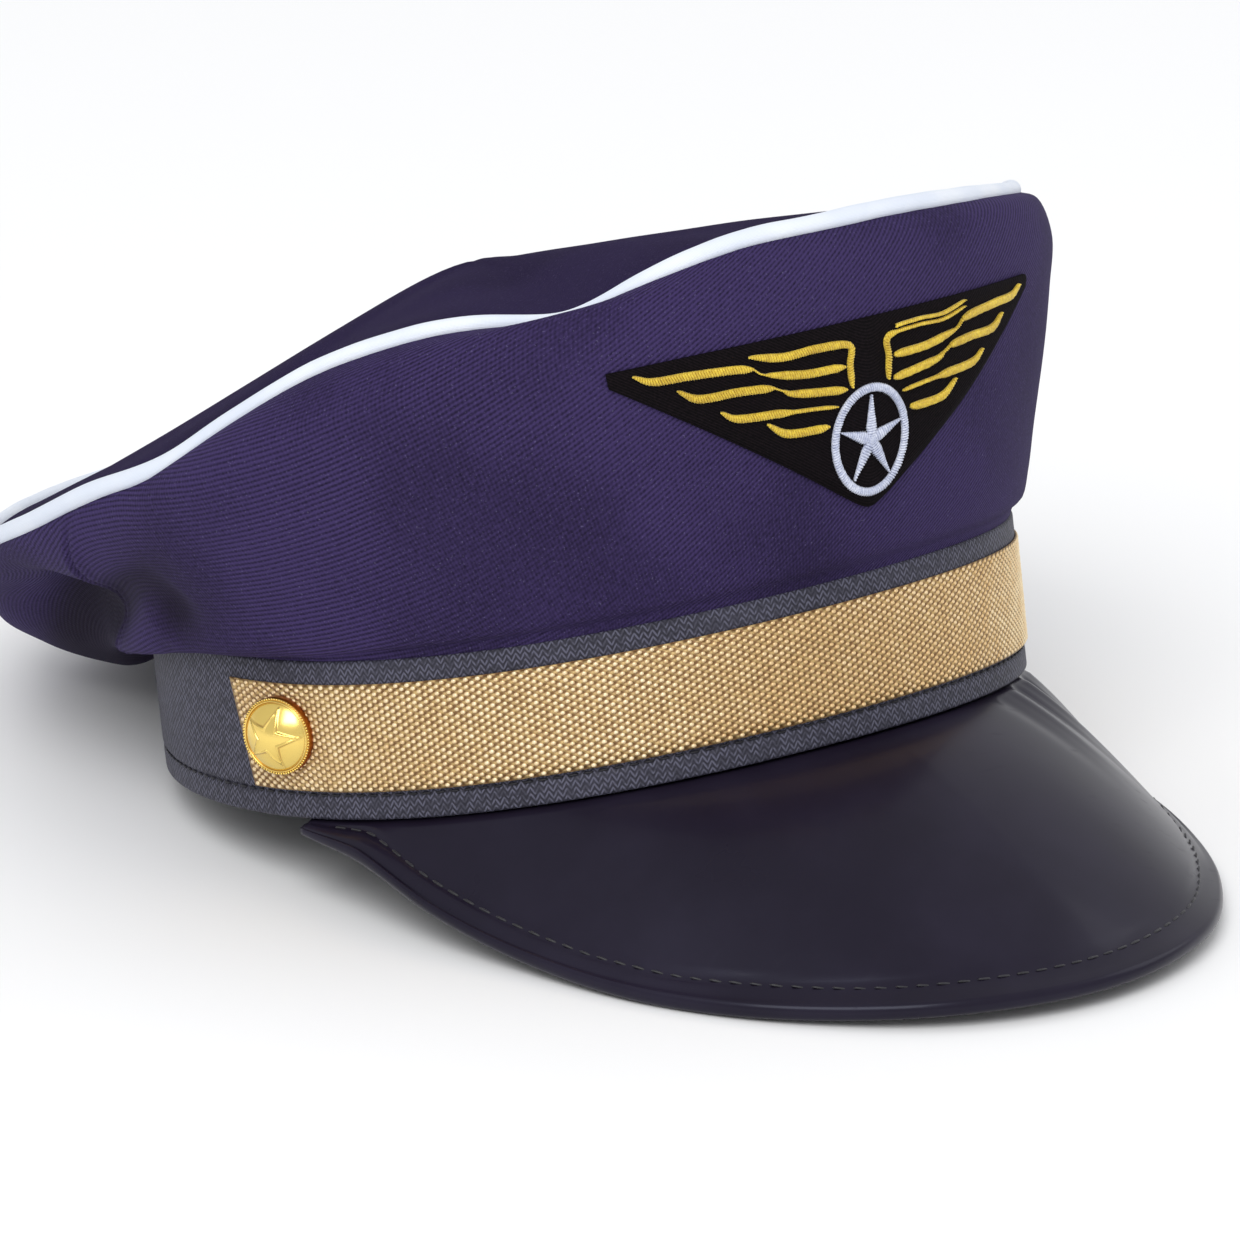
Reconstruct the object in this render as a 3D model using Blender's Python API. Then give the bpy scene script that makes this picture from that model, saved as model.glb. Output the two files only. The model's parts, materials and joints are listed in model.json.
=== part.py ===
"""Pilot cap: a soft crown raised at the front, a piped seam, a band with a woven
ribbon, two dome buttons, a moulded peak and an embroidered wings badge.

The cap is drawn in its own frame, in metres: the origin is the middle of the
band's lower rim, +Z is up, the front faces -Y and the wearer's left is +X.
An angle of 0 is the front and angles grow towards +X. At the end the whole cap
is tipped back until it rests on its peak and on the back of its band.
"""
import math
from collections import namedtuple

import bmesh
import bpy
import numpy as np

MM = 0.001

# Fits
GAP = 0.3 * MM

# Band
BAND_LENGTH = 190.6 * MM
BAND_WIDTH = 183.4 * MM
BAND_HEIGHT = 34.0 * MM
BAND_WALL = 2.4 * MM
BAND_ARCH = 7.4 * MM
BAND_PRESS = 0.5 * MM
BAND_COLUMNS = 72

# Ribbon round the front of the band
RIBBON_WIDTH = 22.8 * MM
RIBBON_RISE = 6.2 * MM
RIBBON_THICKNESS = 0.8 * MM
RIBBON_END = 92.0

# Dome buttons
BUTTON_DIAMETER = 16.5 * MM
BUTTON_DOME = 3.4 * MM
BUTTON_RIM = 1.3 * MM
BUTTON_RIM_WIDTH = 1.2 * MM
BUTTON_RIM_STEP = 0.6
BUTTON_STAR_RELIEF = 0.6 * MM
BUTTON_STAR_RADIUS = 5.6 * MM
BUTTON_STAR_WAIST = 0.42
BUTTON_STAR_SLOPE = 0.25 * MM
BUTTON_STAR_CORE = 0.4
BUTTON_ANGLE = 83.5
STAR_POINTS = 5

# Peak
PEAK_PROJECTION = 65.0 * MM
PEAK_DROP = 46.5 * MM
PEAK_THICKNESS = 1.8 * MM
PEAK_EDGE_BEAD = 3.4 * MM
PEAK_END = 82.0
PEAK_BEND_OUT = 0.42
PEAK_BEND_DOWN = 0.22
PEAK_BEND_CORNER = 0.20
PEAK_COLUMNS = 38

# Crown
CROWN_CLOTH = 1.6 * MM
CROWN_RISE = 75.0 * MM
SEAM_OVER_FRONT = 5.8 * MM
SEAM_OVER_SIDE = 15.8 * MM
SEAM_OVER_BACK = 52.0 * MM
TOP_CENTRE_RISE = 65.5 * MM
TOP_SOFTNESS = 0.12
TOP_DRAPE_ENDS = 0.74
TOP_DRAPE_SIDES = 1.0
SIDE_COLUMNS = 52
BACK_COLUMNS = 22
TOP_COLUMNS = 64

# Piping in the seam
PIPING_DIAMETER = 4.0 * MM
PIPING_SIDES = 6

# Badge, sewn on a little to the wearer's right of the middle
BADGE_SHIFT = -4.3 * MM
PATCH_WIDTH = 110.0 * MM
PATCH_HEIGHT = 41.0 * MM
PATCH_RISE = 14.0 * MM
PATCH_THICKNESS = 1.0 * MM
PATCH_TIP_DROP = 0.06
PATCH_SIDE_RISE = 0.88
PATCH_COLUMNS = 28
PATCH_ROWS = 4
THREAD_HEIGHT = 0.8 * MM
THREAD_TOP = 0.64
RING_HEIGHT = 24.0 * MM
RING_SPAN = 20.6 * MM
RING_THREAD = 2.0 * MM
RING_RISE = 15.3 * MM
STAR_REACH = 9.4 * MM
STAR_WAIST = 3.0 * MM
BAR_WIDTH = 2.0 * MM
BAR_END_WIDTH = 0.4

# Height of the seam over the band's top, as a share of CROWN_RISE, at each angle from the front
Seam = namedtuple("Seam", "angle rise")
SEAM_HEIGHTS = (
    Seam(0, 1.000),
    Seam(20, 0.968),
    Seam(40, 0.915),
    Seam(50, 0.895),
    Seam(60, 0.835),
    Seam(70, 0.712),
    Seam(80, 0.576),
    Seam(90, 0.493),
    Seam(105, 0.348),
    Seam(120, 0.238),
    Seam(135, 0.168),
    Seam(155, 0.150),
    Seam(180, 0.150),
)

# Soft dips and lifts of the seam on one side only, as shares of CROWN_RISE
Dip = namedtuple("Dip", "angle spread depth")
SEAM_DIPS = (
    Dip(-34, 7, 0.055),
    Dip(-15, 8, -0.022),
)

# Sections of the crown wall. Each point is (across, up): across is a share of the way from the
# band out to the seam, up is a share of CROWN_RISE over the band's top.
Section = namedtuple("Section", "angle hem fold turn low middle high shoulder")
WALL_SECTIONS = (
    Section(0, (0.42, 0.045), (0.76, 0.110), (1.02, 0.213), (1.40, 0.400), (1.82, 0.640),
            (2.00, 0.825), (1.75, 0.930)),
    Section(50, (0.40, 0.040), (0.64, 0.105), (0.93, 0.220), (1.47, 0.420), (1.82, 0.590),
            (2.00, 0.725), (1.72, 0.825)),
    Section(90, (0.12, 0.010), (0.24, 0.015), (0.36, 0.065), (0.58, 0.180), (0.86, 0.308),
            (1.00, 0.382), (1.03, 0.432)),
    Section(110, (0.08, 0.000), (0.17, -0.050), (0.28, -0.040), (0.32, 0.065), (0.54, 0.160),
            (0.88, 0.215), (1.03, 0.265)),
    Section(127, (0.06, 0.000), (0.14, -0.105), (0.25, -0.105), (0.27, 0.020), (0.36, 0.105),
            (0.70, 0.085), (1.03, 0.105)),
    Section(138, (0.05, -0.010), (0.13, -0.135), (0.26, -0.175), (0.46, -0.160), (0.72, -0.120),
            (0.98, -0.070), (1.07, 0.015)),
    Section(150, (0.045, -0.020), (0.13, -0.200), (0.30, -0.275), (0.55, -0.275), (0.81, -0.235),
            (1.03, -0.145), (1.09, -0.010)),
    Section(180, (0.04, -0.020), (0.134, -0.180), (0.33, -0.270), (0.59, -0.295), (0.87, -0.260),
            (1.05, -0.140), (1.07, 0.020)),
)

# Angles at which the rear quarter seams meet the band and the piping, and the gap they leave
QUARTER_FOOT = 126.0
QUARTER_HEAD = 94.0
QUARTER_GAP = 0.9 * MM

# Peak sections, from its middle to its corner: shares of PEAK_END, PEAK_PROJECTION and PEAK_DROP
PeakRow = namedtuple("PeakRow", "angle out down")
PEAK_SECTIONS = (
    PeakRow(0.00, 1.000, 1.000),
    PeakRow(0.15, 0.930, 0.970),
    PeakRow(0.30, 0.735, 0.910),
    PeakRow(0.45, 0.515, 0.800),
    PeakRow(0.60, 0.300, 0.625),
    PeakRow(0.75, 0.170, 0.385),
    PeakRow(0.88, 0.085, 0.150),
    PeakRow(1.00, 0.030, 0.050),
)

# The peak is bent down a little on the wearer's left, as a share of PEAK_DROP
PEAK_DIP = Dip(68, 11, 0.210)

# Bars of one wing, from the ring out: points (along, up) as shares of half the patch's width and of
# its height, measured from the patch's lower corner
Bar = namedtuple("Bar", "name points")
WING_BARS = (
    Bar("bar_1", ((0.084, 0.668), (0.089, 0.780), (0.089, 0.883), (0.227, 0.902), (0.364, 0.893),
                  (0.491, 0.924))),
    Bar("bar_2", ((0.482, 0.861), (0.564, 0.873), (0.718, 0.878), (0.845, 0.876), (0.909, 0.915))),
    Bar("bar_3", ((0.116, 0.780), (0.182, 0.780), (0.291, 0.785), (0.436, 0.820))),
    Bar("bar_4", ((0.409, 0.746), (0.545, 0.756), (0.691, 0.754), (0.764, 0.810))),
    Bar("bar_5", ((0.113, 0.663), (0.164, 0.668), (0.327, 0.695), (0.373, 0.722))),
    Bar("bar_6", ((0.156, 0.585), (0.255, 0.598), (0.400, 0.610), (0.555, 0.620), (0.618, 0.668))),
    Bar("bar_7", ((0.196, 0.493), (0.255, 0.488), (0.373, 0.500), (0.445, 0.566))),
)

# Colours
NAVY_TWILL = (0.035, 0.025, 0.085)
CHARCOAL = (0.060, 0.060, 0.085)
GOLD_WEAVE = (0.560, 0.370, 0.150)
BRASS = (0.780, 0.540, 0.090)
BLACK_VINYL = (0.012, 0.011, 0.018)
PIPING_WHITE = (0.740, 0.790, 0.880)
PATCH_BLACK = (0.012, 0.009, 0.009)
YELLOW_THREAD = (0.760, 0.580, 0.060)
SILVER_THREAD = (0.600, 0.640, 0.760)


def clear_scene():
    """Empty the scene before the cap is built."""
    for obj in list(bpy.data.objects):
        bpy.data.objects.remove(obj, do_unlink=True)


def make_material(name, colour, roughness, metallic=0.0):
    """Return a plain finish in one colour."""
    material = bpy.data.materials.new(name)
    material.use_nodes = True
    shader = material.node_tree.nodes["Principled BSDF"]
    shader.inputs["Base Color"].default_value = (*colour, 1.0)
    shader.inputs["Roughness"].default_value = roughness
    shader.inputs["Metallic"].default_value = metallic
    material.diffuse_color = (*colour, 1.0)
    return material


def add_object(name, verts, faces, material, closed=True):
    """Add a mesh object. A closed body gets its faces turned outwards."""
    mesh = bpy.data.meshes.new(name)
    mesh.from_pydata([tuple(v) for v in verts], [], faces)
    if closed:
        shell = bmesh.new()
        shell.from_mesh(mesh)
        bmesh.ops.recalc_face_normals(shell, faces=shell.faces)
        shell.to_mesh(mesh)
        shell.free()
    mesh.shade_smooth()
    mesh.materials.append(material)
    obj = bpy.data.objects.new(name, mesh)
    bpy.context.collection.objects.link(obj)
    return obj


def add_sheet(name, grid, thickness, material, closed_round=False):
    """Add cloth: a grid of outer points, rows going up, thickened inwards."""
    rows, columns = grid.shape[:2]
    faces = []
    for i in range(rows - 1):
        for j in range(columns if closed_round else columns - 1):
            k = (j + 1) % columns
            faces.append((i * columns + j, i * columns + k, (i + 1) * columns + k, (i + 1) * columns + j))
    obj = add_object(name, grid.reshape(-1, 3), faces, material, closed=False)
    thicken(obj, thickness)
    return obj


def thicken(obj, thickness):
    """Give a sheet its wall, on the inner side of its faces."""
    wall = obj.modifiers.new("wall", "SOLIDIFY")
    wall.thickness = thickness
    wall.offset = -1.0
    wall.use_even_offset = True


def add_loft(name, rings, material, closed_round=False):
    """Add a solid through closed rings of points, with flat ends unless it closes on itself."""
    rings = np.asarray(rings)
    count, sides = rings.shape[:2]
    faces = []
    for i in range(count if closed_round else count - 1):
        n = (i + 1) % count
        for j in range(sides):
            k = (j + 1) % sides
            faces.append((i * sides + j, i * sides + k, n * sides + k, n * sides + j))
    if not closed_round:
        faces.append(tuple(range(sides)))
        faces.append(tuple((count - 1) * sides + j for j in range(sides)))
    return add_object(name, rings.reshape(-1, 3), faces, material)


def smooth(knots, values, at):
    """Pass a smooth curve through values at knots and read it at the places asked for."""
    knots = np.asarray(knots, float)
    values = np.asarray(values, float)
    flat = values.reshape(len(knots), -1)
    step = np.diff(knots)[:, None]
    slope = np.diff(flat, axis=0) / step
    tangent = np.zeros_like(flat)
    tangent[1:-1] = (slope[:-1] * step[1:] + slope[1:] * step[:-1]) / (step[:-1] + step[1:])
    tangent[0] = slope[0]
    tangent[-1] = slope[-1]
    at = np.clip(np.atleast_1d(at), knots[0], knots[-1])
    i = np.clip(np.searchsorted(knots, at, side="right") - 1, 0, len(knots) - 2)
    width = step[i]
    t = ((at - knots[i])[:, None]) / width
    first = (2 * t**3 - 3 * t**2 + 1) * flat[i] + (t**3 - 2 * t**2 + t) * width * tangent[i]
    second = (3 * t**2 - 2 * t**3) * flat[i + 1] + (t**3 - t**2) * width * tangent[i + 1]
    return (first + second).reshape((len(at),) + values.shape[1:])


def smooth_round(table, values, angle):
    """Read a front-to-back table at an angle, the same on both sides and level at front and back."""
    knots = [row.angle for row in table]
    knots = [-knots[1]] + knots + [360 - knots[-2]]
    values = [values[1]] + list(values) + [values[-2]]
    folded = abs((angle + 180.0) % 360.0 - 180.0)
    return smooth(knots, values, folded)[0]


def outward(angle):
    """Level unit vector pointing out of the cap at an angle from the front."""
    turn = math.radians(angle)
    return np.array([math.sin(turn), -math.cos(turn), 0.0])


def band_point(angle, inset=0.0, height=0.0):
    """Point on the band, inset from its outer face, at a height over its lower rim."""
    turn = math.radians(angle)
    arch = BAND_ARCH * max(math.cos(turn), 0.0) ** 2
    half_width = BAND_WIDTH / 2 - inset
    half_length = BAND_LENGTH / 2 - inset
    return np.array([half_width * math.sin(turn), -half_length * math.cos(turn), arch + height])


def seam_level(angle):
    """Height of the seam over the band's top at an angle."""
    share = smooth_round(SEAM_HEIGHTS, [row.rise for row in SEAM_HEIGHTS], angle)
    for dip in SEAM_DIPS:
        away = (angle - dip.angle + 180.0) % 360.0 - 180.0
        share -= dip.depth * math.exp(-(away / dip.spread) ** 2)
    return share * CROWN_RISE


def seam_point(angle):
    """Point on the seam that joins the crown's wall to its top."""
    turn = math.radians(angle)
    front = -(BAND_LENGTH / 2 + SEAM_OVER_FRONT)
    back = BAND_LENGTH / 2 + SEAM_OVER_BACK
    half_width = BAND_WIDTH / 2 + SEAM_OVER_SIDE
    y = (front + back) / 2 - (back - front) / 2 * math.cos(turn)
    base = band_point(angle, height=BAND_HEIGHT)
    return np.array([half_width * math.sin(turn), y, base[2] + seam_level(angle)])


# Rows of the wall's grid, counted in knots of a section: extra rows lie in the long stretches
WALL_ROWS = (0, 1, 2, 3, 4, 4.5, 5, 5.5, 6, 6.5, 7, 8)
FOOT_STAND = 1.8 * MM
FOOT_LEAN = 0.4 * MM
LEAST_ROW = 0.8 * MM


def wall_profile(angle):
    """Outer points of the crown's wall at one angle, from the band up to beside the piping."""
    base = band_point(angle, height=BAND_HEIGHT + GAP)
    seam = seam_point(angle)
    across = (seam - base) * np.array([1.0, 1.0, 0.0])
    shares = smooth_round(WALL_SECTIONS, [np.array(row[1:]) for row in WALL_SECTIONS], angle)
    points = [base, base + outward(angle) * FOOT_LEAN + np.array([0.0, 0.0, FOOT_STAND])]
    for share_across, share_up in shares:
        points.append(base + across * share_across + np.array([0.0, 0.0, share_up * CROWN_RISE]))
    points.append(seam)
    points = np.array(points)
    lengths = np.linalg.norm(np.diff(points, axis=0), axis=1)
    knots = np.concatenate([[0.0], np.cumsum(lengths)])
    ahead = seam_point(angle + 1.0) - seam_point(angle - 1.0)
    last = (seam - points[-2]) / lengths[-1]
    slant = np.linalg.norm(np.cross(ahead / np.linalg.norm(ahead), last))
    end = knots[-1] - (PIPING_DIAMETER / 2 + GAP) / slant
    places = [np.interp(row, range(len(knots)), knots) for row in WALL_ROWS]
    places = [min(place, end - LEAST_ROW) for place in places] + [end]
    return smooth(knots, points, places)


def wall_faces(angle):
    """Outer and inner points of the wall at one angle, a cloth's thickness apart."""
    points = wall_profile(angle)
    around = wall_profile(angle + 0.5) - wall_profile(angle - 0.5)
    normal = np.cross(around, np.gradient(points, axis=0))
    normal /= np.linalg.norm(normal, axis=1)[:, None]
    return points, points - normal * CROWN_CLOTH


def wall_shares():
    """Share of the way up the wall of each row of its grid, read beside the rear quarter seam."""
    points = wall_profile((QUARTER_FOOT + QUARTER_HEAD) / 2)
    reach = np.cumsum(np.linalg.norm(np.diff(points, axis=0), axis=1))
    return np.concatenate([[0.0], reach]) / reach[-1]


def wall_panel(start, stop, columns):
    """Outer and inner grid of a panel whose side edges may slope. Both limits take a share of the height."""
    shares = wall_shares()
    grids = np.zeros((2, len(shares), columns + 1, 3))
    for i, share in enumerate(shares):
        first, last = start(share), stop(share)
        for j in range(columns + 1):
            outer, inner = wall_faces(first + (last - first) * j / columns)
            grids[0, i, j] = outer[i]
            grids[1, i, j] = inner[i]
    return grids


def add_panel(name, grids, material):
    """Add a closed solid between an outer and an inner grid. The narrow faces along two facing
    side edges are split alike, so that they stay clear of each other."""
    rows, columns = grids.shape[1:3]
    around = [(0, j) for j in range(columns)] + [(i, columns - 1) for i in range(1, rows)]
    around += [(rows - 1, j) for j in range(columns - 2, -1, -1)] + [(i, 0) for i in range(rows - 2, 0, -1)]
    inner = rows * columns
    faces = []
    for i in range(rows - 1):
        for j in range(columns - 1):
            corner = i * columns + j
            face = (corner, corner + 1, corner + columns + 1, corner + columns)
            faces += [face, tuple(inner + k for k in reversed(face))]
    for (a, b), (c, d) in zip(around, around[1:] + around[:1]):
        first, second = a * columns + b, c * columns + d
        if c > a:
            faces += [(second, first, inner + second), (first, inner + first, inner + second)]
        else:
            faces += [(second, first, inner + first), (second, inner + first, inner + second)]
    return add_object(name, grids.reshape(-1, 3), faces, material)


def quarter_angle(share):
    """Angle of the rear quarter seam, from the band up to the piping."""
    return QUARTER_FOOT + (QUARTER_HEAD - QUARTER_FOOT) * share


def quarter_clearance():
    """Half the gap between two panels, in degrees."""
    return math.degrees((QUARTER_GAP / 2) / (BAND_WIDTH / 2))


def side_panel():
    """Grids of the panel that runs round the front and both sides."""
    clear = quarter_clearance()
    return wall_panel(lambda s: -(quarter_angle(s) - clear), lambda s: quarter_angle(s) - clear, SIDE_COLUMNS)


def rear_panel():
    """Grids of the panel between the rear quarter seams."""
    clear = quarter_clearance()
    return wall_panel(lambda s: quarter_angle(s) + clear, lambda s: 360 - quarter_angle(s) - clear,
                      BACK_COLUMNS)


def top_point(share, angle):
    """Outer point of the crown's top, at a share of the way from its centre to the seam."""
    turn = math.radians(angle)
    seam = seam_point(angle)
    centre = np.array([0.0, (seam_point(0)[1] + seam_point(180)[1]) / 2, BAND_HEIGHT + TOP_CENTRE_RISE])
    soft = (math.hypot(share, TOP_SOFTNESS) - TOP_SOFTNESS) / (math.hypot(1, TOP_SOFTNESS) - TOP_SOFTNESS)
    drape = soft ** (TOP_DRAPE_ENDS + (TOP_DRAPE_SIDES - TOP_DRAPE_ENDS) * math.sin(turn) ** 2)
    point = centre + (seam - centre) * share
    point[2] = centre[2] + (seam[2] - centre[2]) * drape
    return point


TOP_ROWS = (0.12, 0.32, 0.54, 0.75, 0.91)


def make_crown_top(cloth):
    """The crowned top panel, closed at its middle by a fan."""
    verts = [top_point(0.0, 0.0)]
    clear = PIPING_DIAMETER / 2 + GAP
    for row in TOP_ROWS + (1.0,):
        for j in range(TOP_COLUMNS):
            angle = 360.0 * j / TOP_COLUMNS
            share = row
            if row == 1.0:
                reach = np.linalg.norm(top_point(1.0, angle) - top_point(0.96, angle)) / 0.04
                share = 1.0 - clear / reach
            verts.append(top_point(share, angle))
    faces = [(0, 1 + j, 1 + (j + 1) % TOP_COLUMNS) for j in range(TOP_COLUMNS)]
    for i in range(len(TOP_ROWS)):
        inner = 1 + i * TOP_COLUMNS
        outer = inner + TOP_COLUMNS
        for j in range(TOP_COLUMNS):
            k = (j + 1) % TOP_COLUMNS
            faces.append((inner + j, outer + j, outer + k, inner + k))
    thicken(add_object("crown_top", verts, faces, cloth, closed=False), CROWN_CLOTH)


def make_piping(material):
    """The round piping that fills the seam."""
    rings = []
    for j in range(TOP_COLUMNS):
        angle = 360.0 * j / TOP_COLUMNS
        centre = seam_point(angle)
        ahead = seam_point(angle + 1.0) - seam_point(angle - 1.0)
        ahead /= np.linalg.norm(ahead)
        side = np.cross(ahead, [0.0, 0.0, 1.0])
        side /= np.linalg.norm(side)
        up = np.cross(side, ahead)
        ring = []
        for k in range(PIPING_SIDES):
            turn = 2 * math.pi * k / PIPING_SIDES
            ring.append(centre + (side * math.cos(turn) + up * math.sin(turn)) * PIPING_DIAMETER / 2)
        rings.append(ring)
    add_loft("piping", rings, material, closed_round=True)


def make_band(cloth, pitch):
    """The band, pressed flat at the back where it rests."""
    rings = []
    floor = band_floor(pitch)
    for j in range(BAND_COLUMNS):
        angle = 360.0 * (j + 0.5) / BAND_COLUMNS
        ring = []
        for inset, height in ((0, 0), (0, BAND_HEIGHT), (BAND_WALL, BAND_HEIGHT), (BAND_WALL, 0)):
            point = band_point(angle, inset, height)
            if height == 0:
                lowest = (floor + point[1] * math.sin(pitch)) / math.cos(pitch)
                point[2] = max(point[2], lowest)
            ring.append(point)
        rings.append(ring)
    add_loft("band", rings, cloth, closed_round=True)


def band_floor(pitch):
    """Height of the surface that the tipped band rests on, under the cap's own origin."""
    return BAND_PRESS - BAND_LENGTH / 2 * math.sin(pitch)


def make_ribbon(material):
    """The woven ribbon over the front half of the band."""
    columns = BAND_COLUMNS // 2
    grid = np.zeros((2, columns + 1, 3))
    out = -(GAP + RIBBON_THICKNESS)
    for j in range(columns + 1):
        angle = -RIBBON_END + 2 * RIBBON_END * j / columns
        grid[0, j] = band_point(angle, out, RIBBON_RISE)
        grid[1, j] = band_point(angle, out, RIBBON_RISE + RIBBON_WIDTH)
    add_sheet("ribbon", grid, RIBBON_THICKNESS, material)


def star_edge(turn, tip, waist):
    """Distance from a star's centre to its edge in one direction, for a tip at turn 0."""
    sector = math.pi / STAR_POINTS
    folded = abs((turn + sector) % (2 * sector) - sector)
    a = np.array([tip, 0.0])
    b = np.array([waist * math.cos(sector), waist * math.sin(sector)])
    edge = b - a
    cross = edge[0] * math.sin(folded) - edge[1] * math.cos(folded)
    return (edge[0] * a[1] - edge[1] * a[0]) / cross


def make_button(name, angle, metal):
    """A dome button with a raised rim and a five-pointed star, on the ribbon."""
    sides = STAR_POINTS * 4
    radius = BUTTON_DIAMETER / 2
    inner = radius - BUTTON_RIM_WIDTH
    out = outward(angle)
    across = np.cross(np.array([0.0, 0.0, 1.0]), out)
    up = np.array([0.0, 0.0, 1.0])
    seat = band_point(angle, -(2 * GAP + RIBBON_THICKNESS), RIBBON_RISE + RIBBON_WIDTH / 2)

    def lift(reach):
        return BUTTON_DOME * (1.0 - (reach / inner) ** 2) + BUTTON_RIM * BUTTON_RIM_STEP

    rings = []
    for k in range(sides):
        turn = 2 * math.pi * k / sides
        star = star_edge(turn, BUTTON_STAR_RADIUS, BUTTON_STAR_RADIUS * BUTTON_STAR_WAIST)
        foot = star + BUTTON_STAR_SLOPE
        core = star * BUTTON_STAR_CORE
        profile = [(radius, 0.0), (radius, BUTTON_RIM), (inner, BUTTON_RIM), (inner, BUTTON_RIM * BUTTON_RIM_STEP)]
        profile += [(foot, lift(foot)), (star, lift(star) + BUTTON_STAR_RELIEF / 2)]
        profile += [(core, lift(core) + BUTTON_STAR_RELIEF)]
        rings.append([(reach * math.sin(turn), reach * math.cos(turn), height) for reach, height in profile])
    verts = [p for ring in rings for p in ring]
    count = len(rings[0])
    crown = len(verts)
    verts.append((0.0, 0.0, lift(0.0) + BUTTON_STAR_RELIEF))
    verts.append((0.0, 0.0, 0.0))
    faces = []
    for k in range(sides):
        n = (k + 1) % sides
        for i in range(count - 1):
            faces.append((k * count + i, k * count + i + 1, n * count + i + 1, n * count + i))
        faces.append((k * count + count - 1, crown, n * count + count - 1))
        faces.append((k * count, n * count, crown + 1))
    placed = [seat + across * x + up * y + out * z for x, y, z in verts]
    add_object(name, placed, faces, metal)


def peak_edge(share):
    """Angle, reach out and reach down of the peak at a share of the way to its corner."""
    table = smooth([-PEAK_SECTIONS[1].angle] + [row.angle for row in PEAK_SECTIONS],
                   [PEAK_SECTIONS[1][1:]] + [row[1:] for row in PEAK_SECTIONS], abs(share))[0]
    angle = share * PEAK_END
    dip = PEAK_DIP.depth * math.exp(-((angle - PEAK_DIP.angle) / PEAK_DIP.spread) ** 2)
    return angle, table[0] * PEAK_PROJECTION, (table[1] + dip) * PEAK_DROP


def peak_ring(share):
    """Closed section of the peak: its upper face, the beaded edge and its lower face."""
    angle, out, down = peak_edge(share)
    root = band_point(angle)
    reach = outward(angle)
    start = np.array([-BAND_WALL + GAP, -GAP])
    bend = np.array([out * PEAK_BEND_OUT, -down * (PEAK_BEND_DOWN + PEAK_BEND_CORNER * abs(share))])
    end = np.array([out, -down])
    full = min(1.0, np.linalg.norm(end - start) / (3 * PEAK_EDGE_BEAD))
    upper = []
    for t in (0.0, 0.15, 0.35, 0.55, 0.75, 0.94):
        upper.append((1 - t) ** 2 * start + 2 * t * (1 - t) * bend + t * t * end)
    upper = np.array(upper)
    along = np.gradient(upper, axis=0)
    along /= np.linalg.norm(along, axis=1)[:, None]
    under = np.stack([along[:, 1], -along[:, 0]], axis=1)
    lower = upper + under * PEAK_THICKNESS * full
    tip = along[-1]
    side = under[-1]
    bead = PEAK_EDGE_BEAD / 2 * full
    centre = end - tip * bead + side * PEAK_THICKNESS / 2 * full
    arc = []
    for turn in (-110, -55, 0, 55, 110):
        a = math.radians(turn)
        arc.append(centre + (tip * math.cos(a) + side * math.sin(a)) * bead)
    section = list(upper[:-1]) + arc + list(lower[:-1][::-1])
    return [root + reach * p[0] + np.array([0.0, 0.0, p[1]]) for p in section]


def peak_rings():
    """All sections of the peak, from one corner to the other."""
    return np.array([peak_ring(-1 + 2 * j / PEAK_COLUMNS) for j in range(PEAK_COLUMNS + 1)])


def rest_pitch():
    """Angle that tips the cap back onto its peak's edge and the back of its band."""
    points = peak_rings().reshape(-1, 3)
    low, high = 0.0, math.radians(30)
    for _ in range(40):
        pitch = (low + high) / 2
        lowest = (points[:, 2] * math.cos(pitch) - points[:, 1] * math.sin(pitch)).min()
        if lowest < band_floor(pitch):
            low = pitch
        else:
            high = pitch
    return (low + high) / 2


class CrownFront:
    """Reads the outer face of the front panel, so that the badge can lie on it."""

    def __init__(self, side):
        self.grid = side[0]
        self.middle = self.grid.shape[1] // 2
        self.foot = band_point(0, height=BAND_HEIGHT)[2]
        line = [self.level_point(j, self.foot + PATCH_RISE + PATCH_HEIGHT / 2) for j in self.columns()]
        steps = np.linalg.norm(np.diff(np.array(line), axis=0), axis=1)
        self.along = np.concatenate([[0.0], np.cumsum(steps)])
        self.along -= self.along[len(line) // 2]

    def columns(self):
        """Column numbers of the part of the panel that a badge may cover."""
        reach = self.middle // 2
        return range(self.middle - reach, self.middle + reach + 1)

    def level_point(self, column, level):
        """Point of one column at a height."""
        points = self.grid[:, column]
        start = int(np.argmin(points[:5, 2]))
        points = points[start:]
        return np.array([np.interp(level, points[:, 2], points[:, axis]) for axis in range(3)])

    def point(self, along, up):
        """Point at a distance round the front from the badge's middle and a height over the band."""
        place = np.interp(along + BADGE_SHIFT, self.along, list(self.columns()))
        left = int(min(max(math.floor(place), 0), self.grid.shape[1] - 2))
        share = place - left
        level = self.foot + up
        return self.level_point(left, level) * (1 - share) + self.level_point(left + 1, level) * share

    def lifted(self, along, up, lift):
        """Point that stands off the panel by a distance along its own normal."""
        step = 1.0 * MM
        sideways = self.point(along + step, up) - self.point(along - step, up)
        upwards = self.point(along, up + step) - self.point(along, up - step)
        normal = np.cross(sideways, upwards)
        return self.point(along, up) + normal / np.linalg.norm(normal) * lift


PATCH_GAP = 2 * GAP
THREAD_BASE = PATCH_GAP + PATCH_THICKNESS + GAP


def patch_edges(share):
    """Lower and upper edge of the patch at a share of its half width."""
    lower = PATCH_RISE + PATCH_HEIGHT * PATCH_SIDE_RISE * abs(share)
    upper = PATCH_RISE + PATCH_HEIGHT * (1 - PATCH_TIP_DROP * share ** 2)
    return lower, upper


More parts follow.
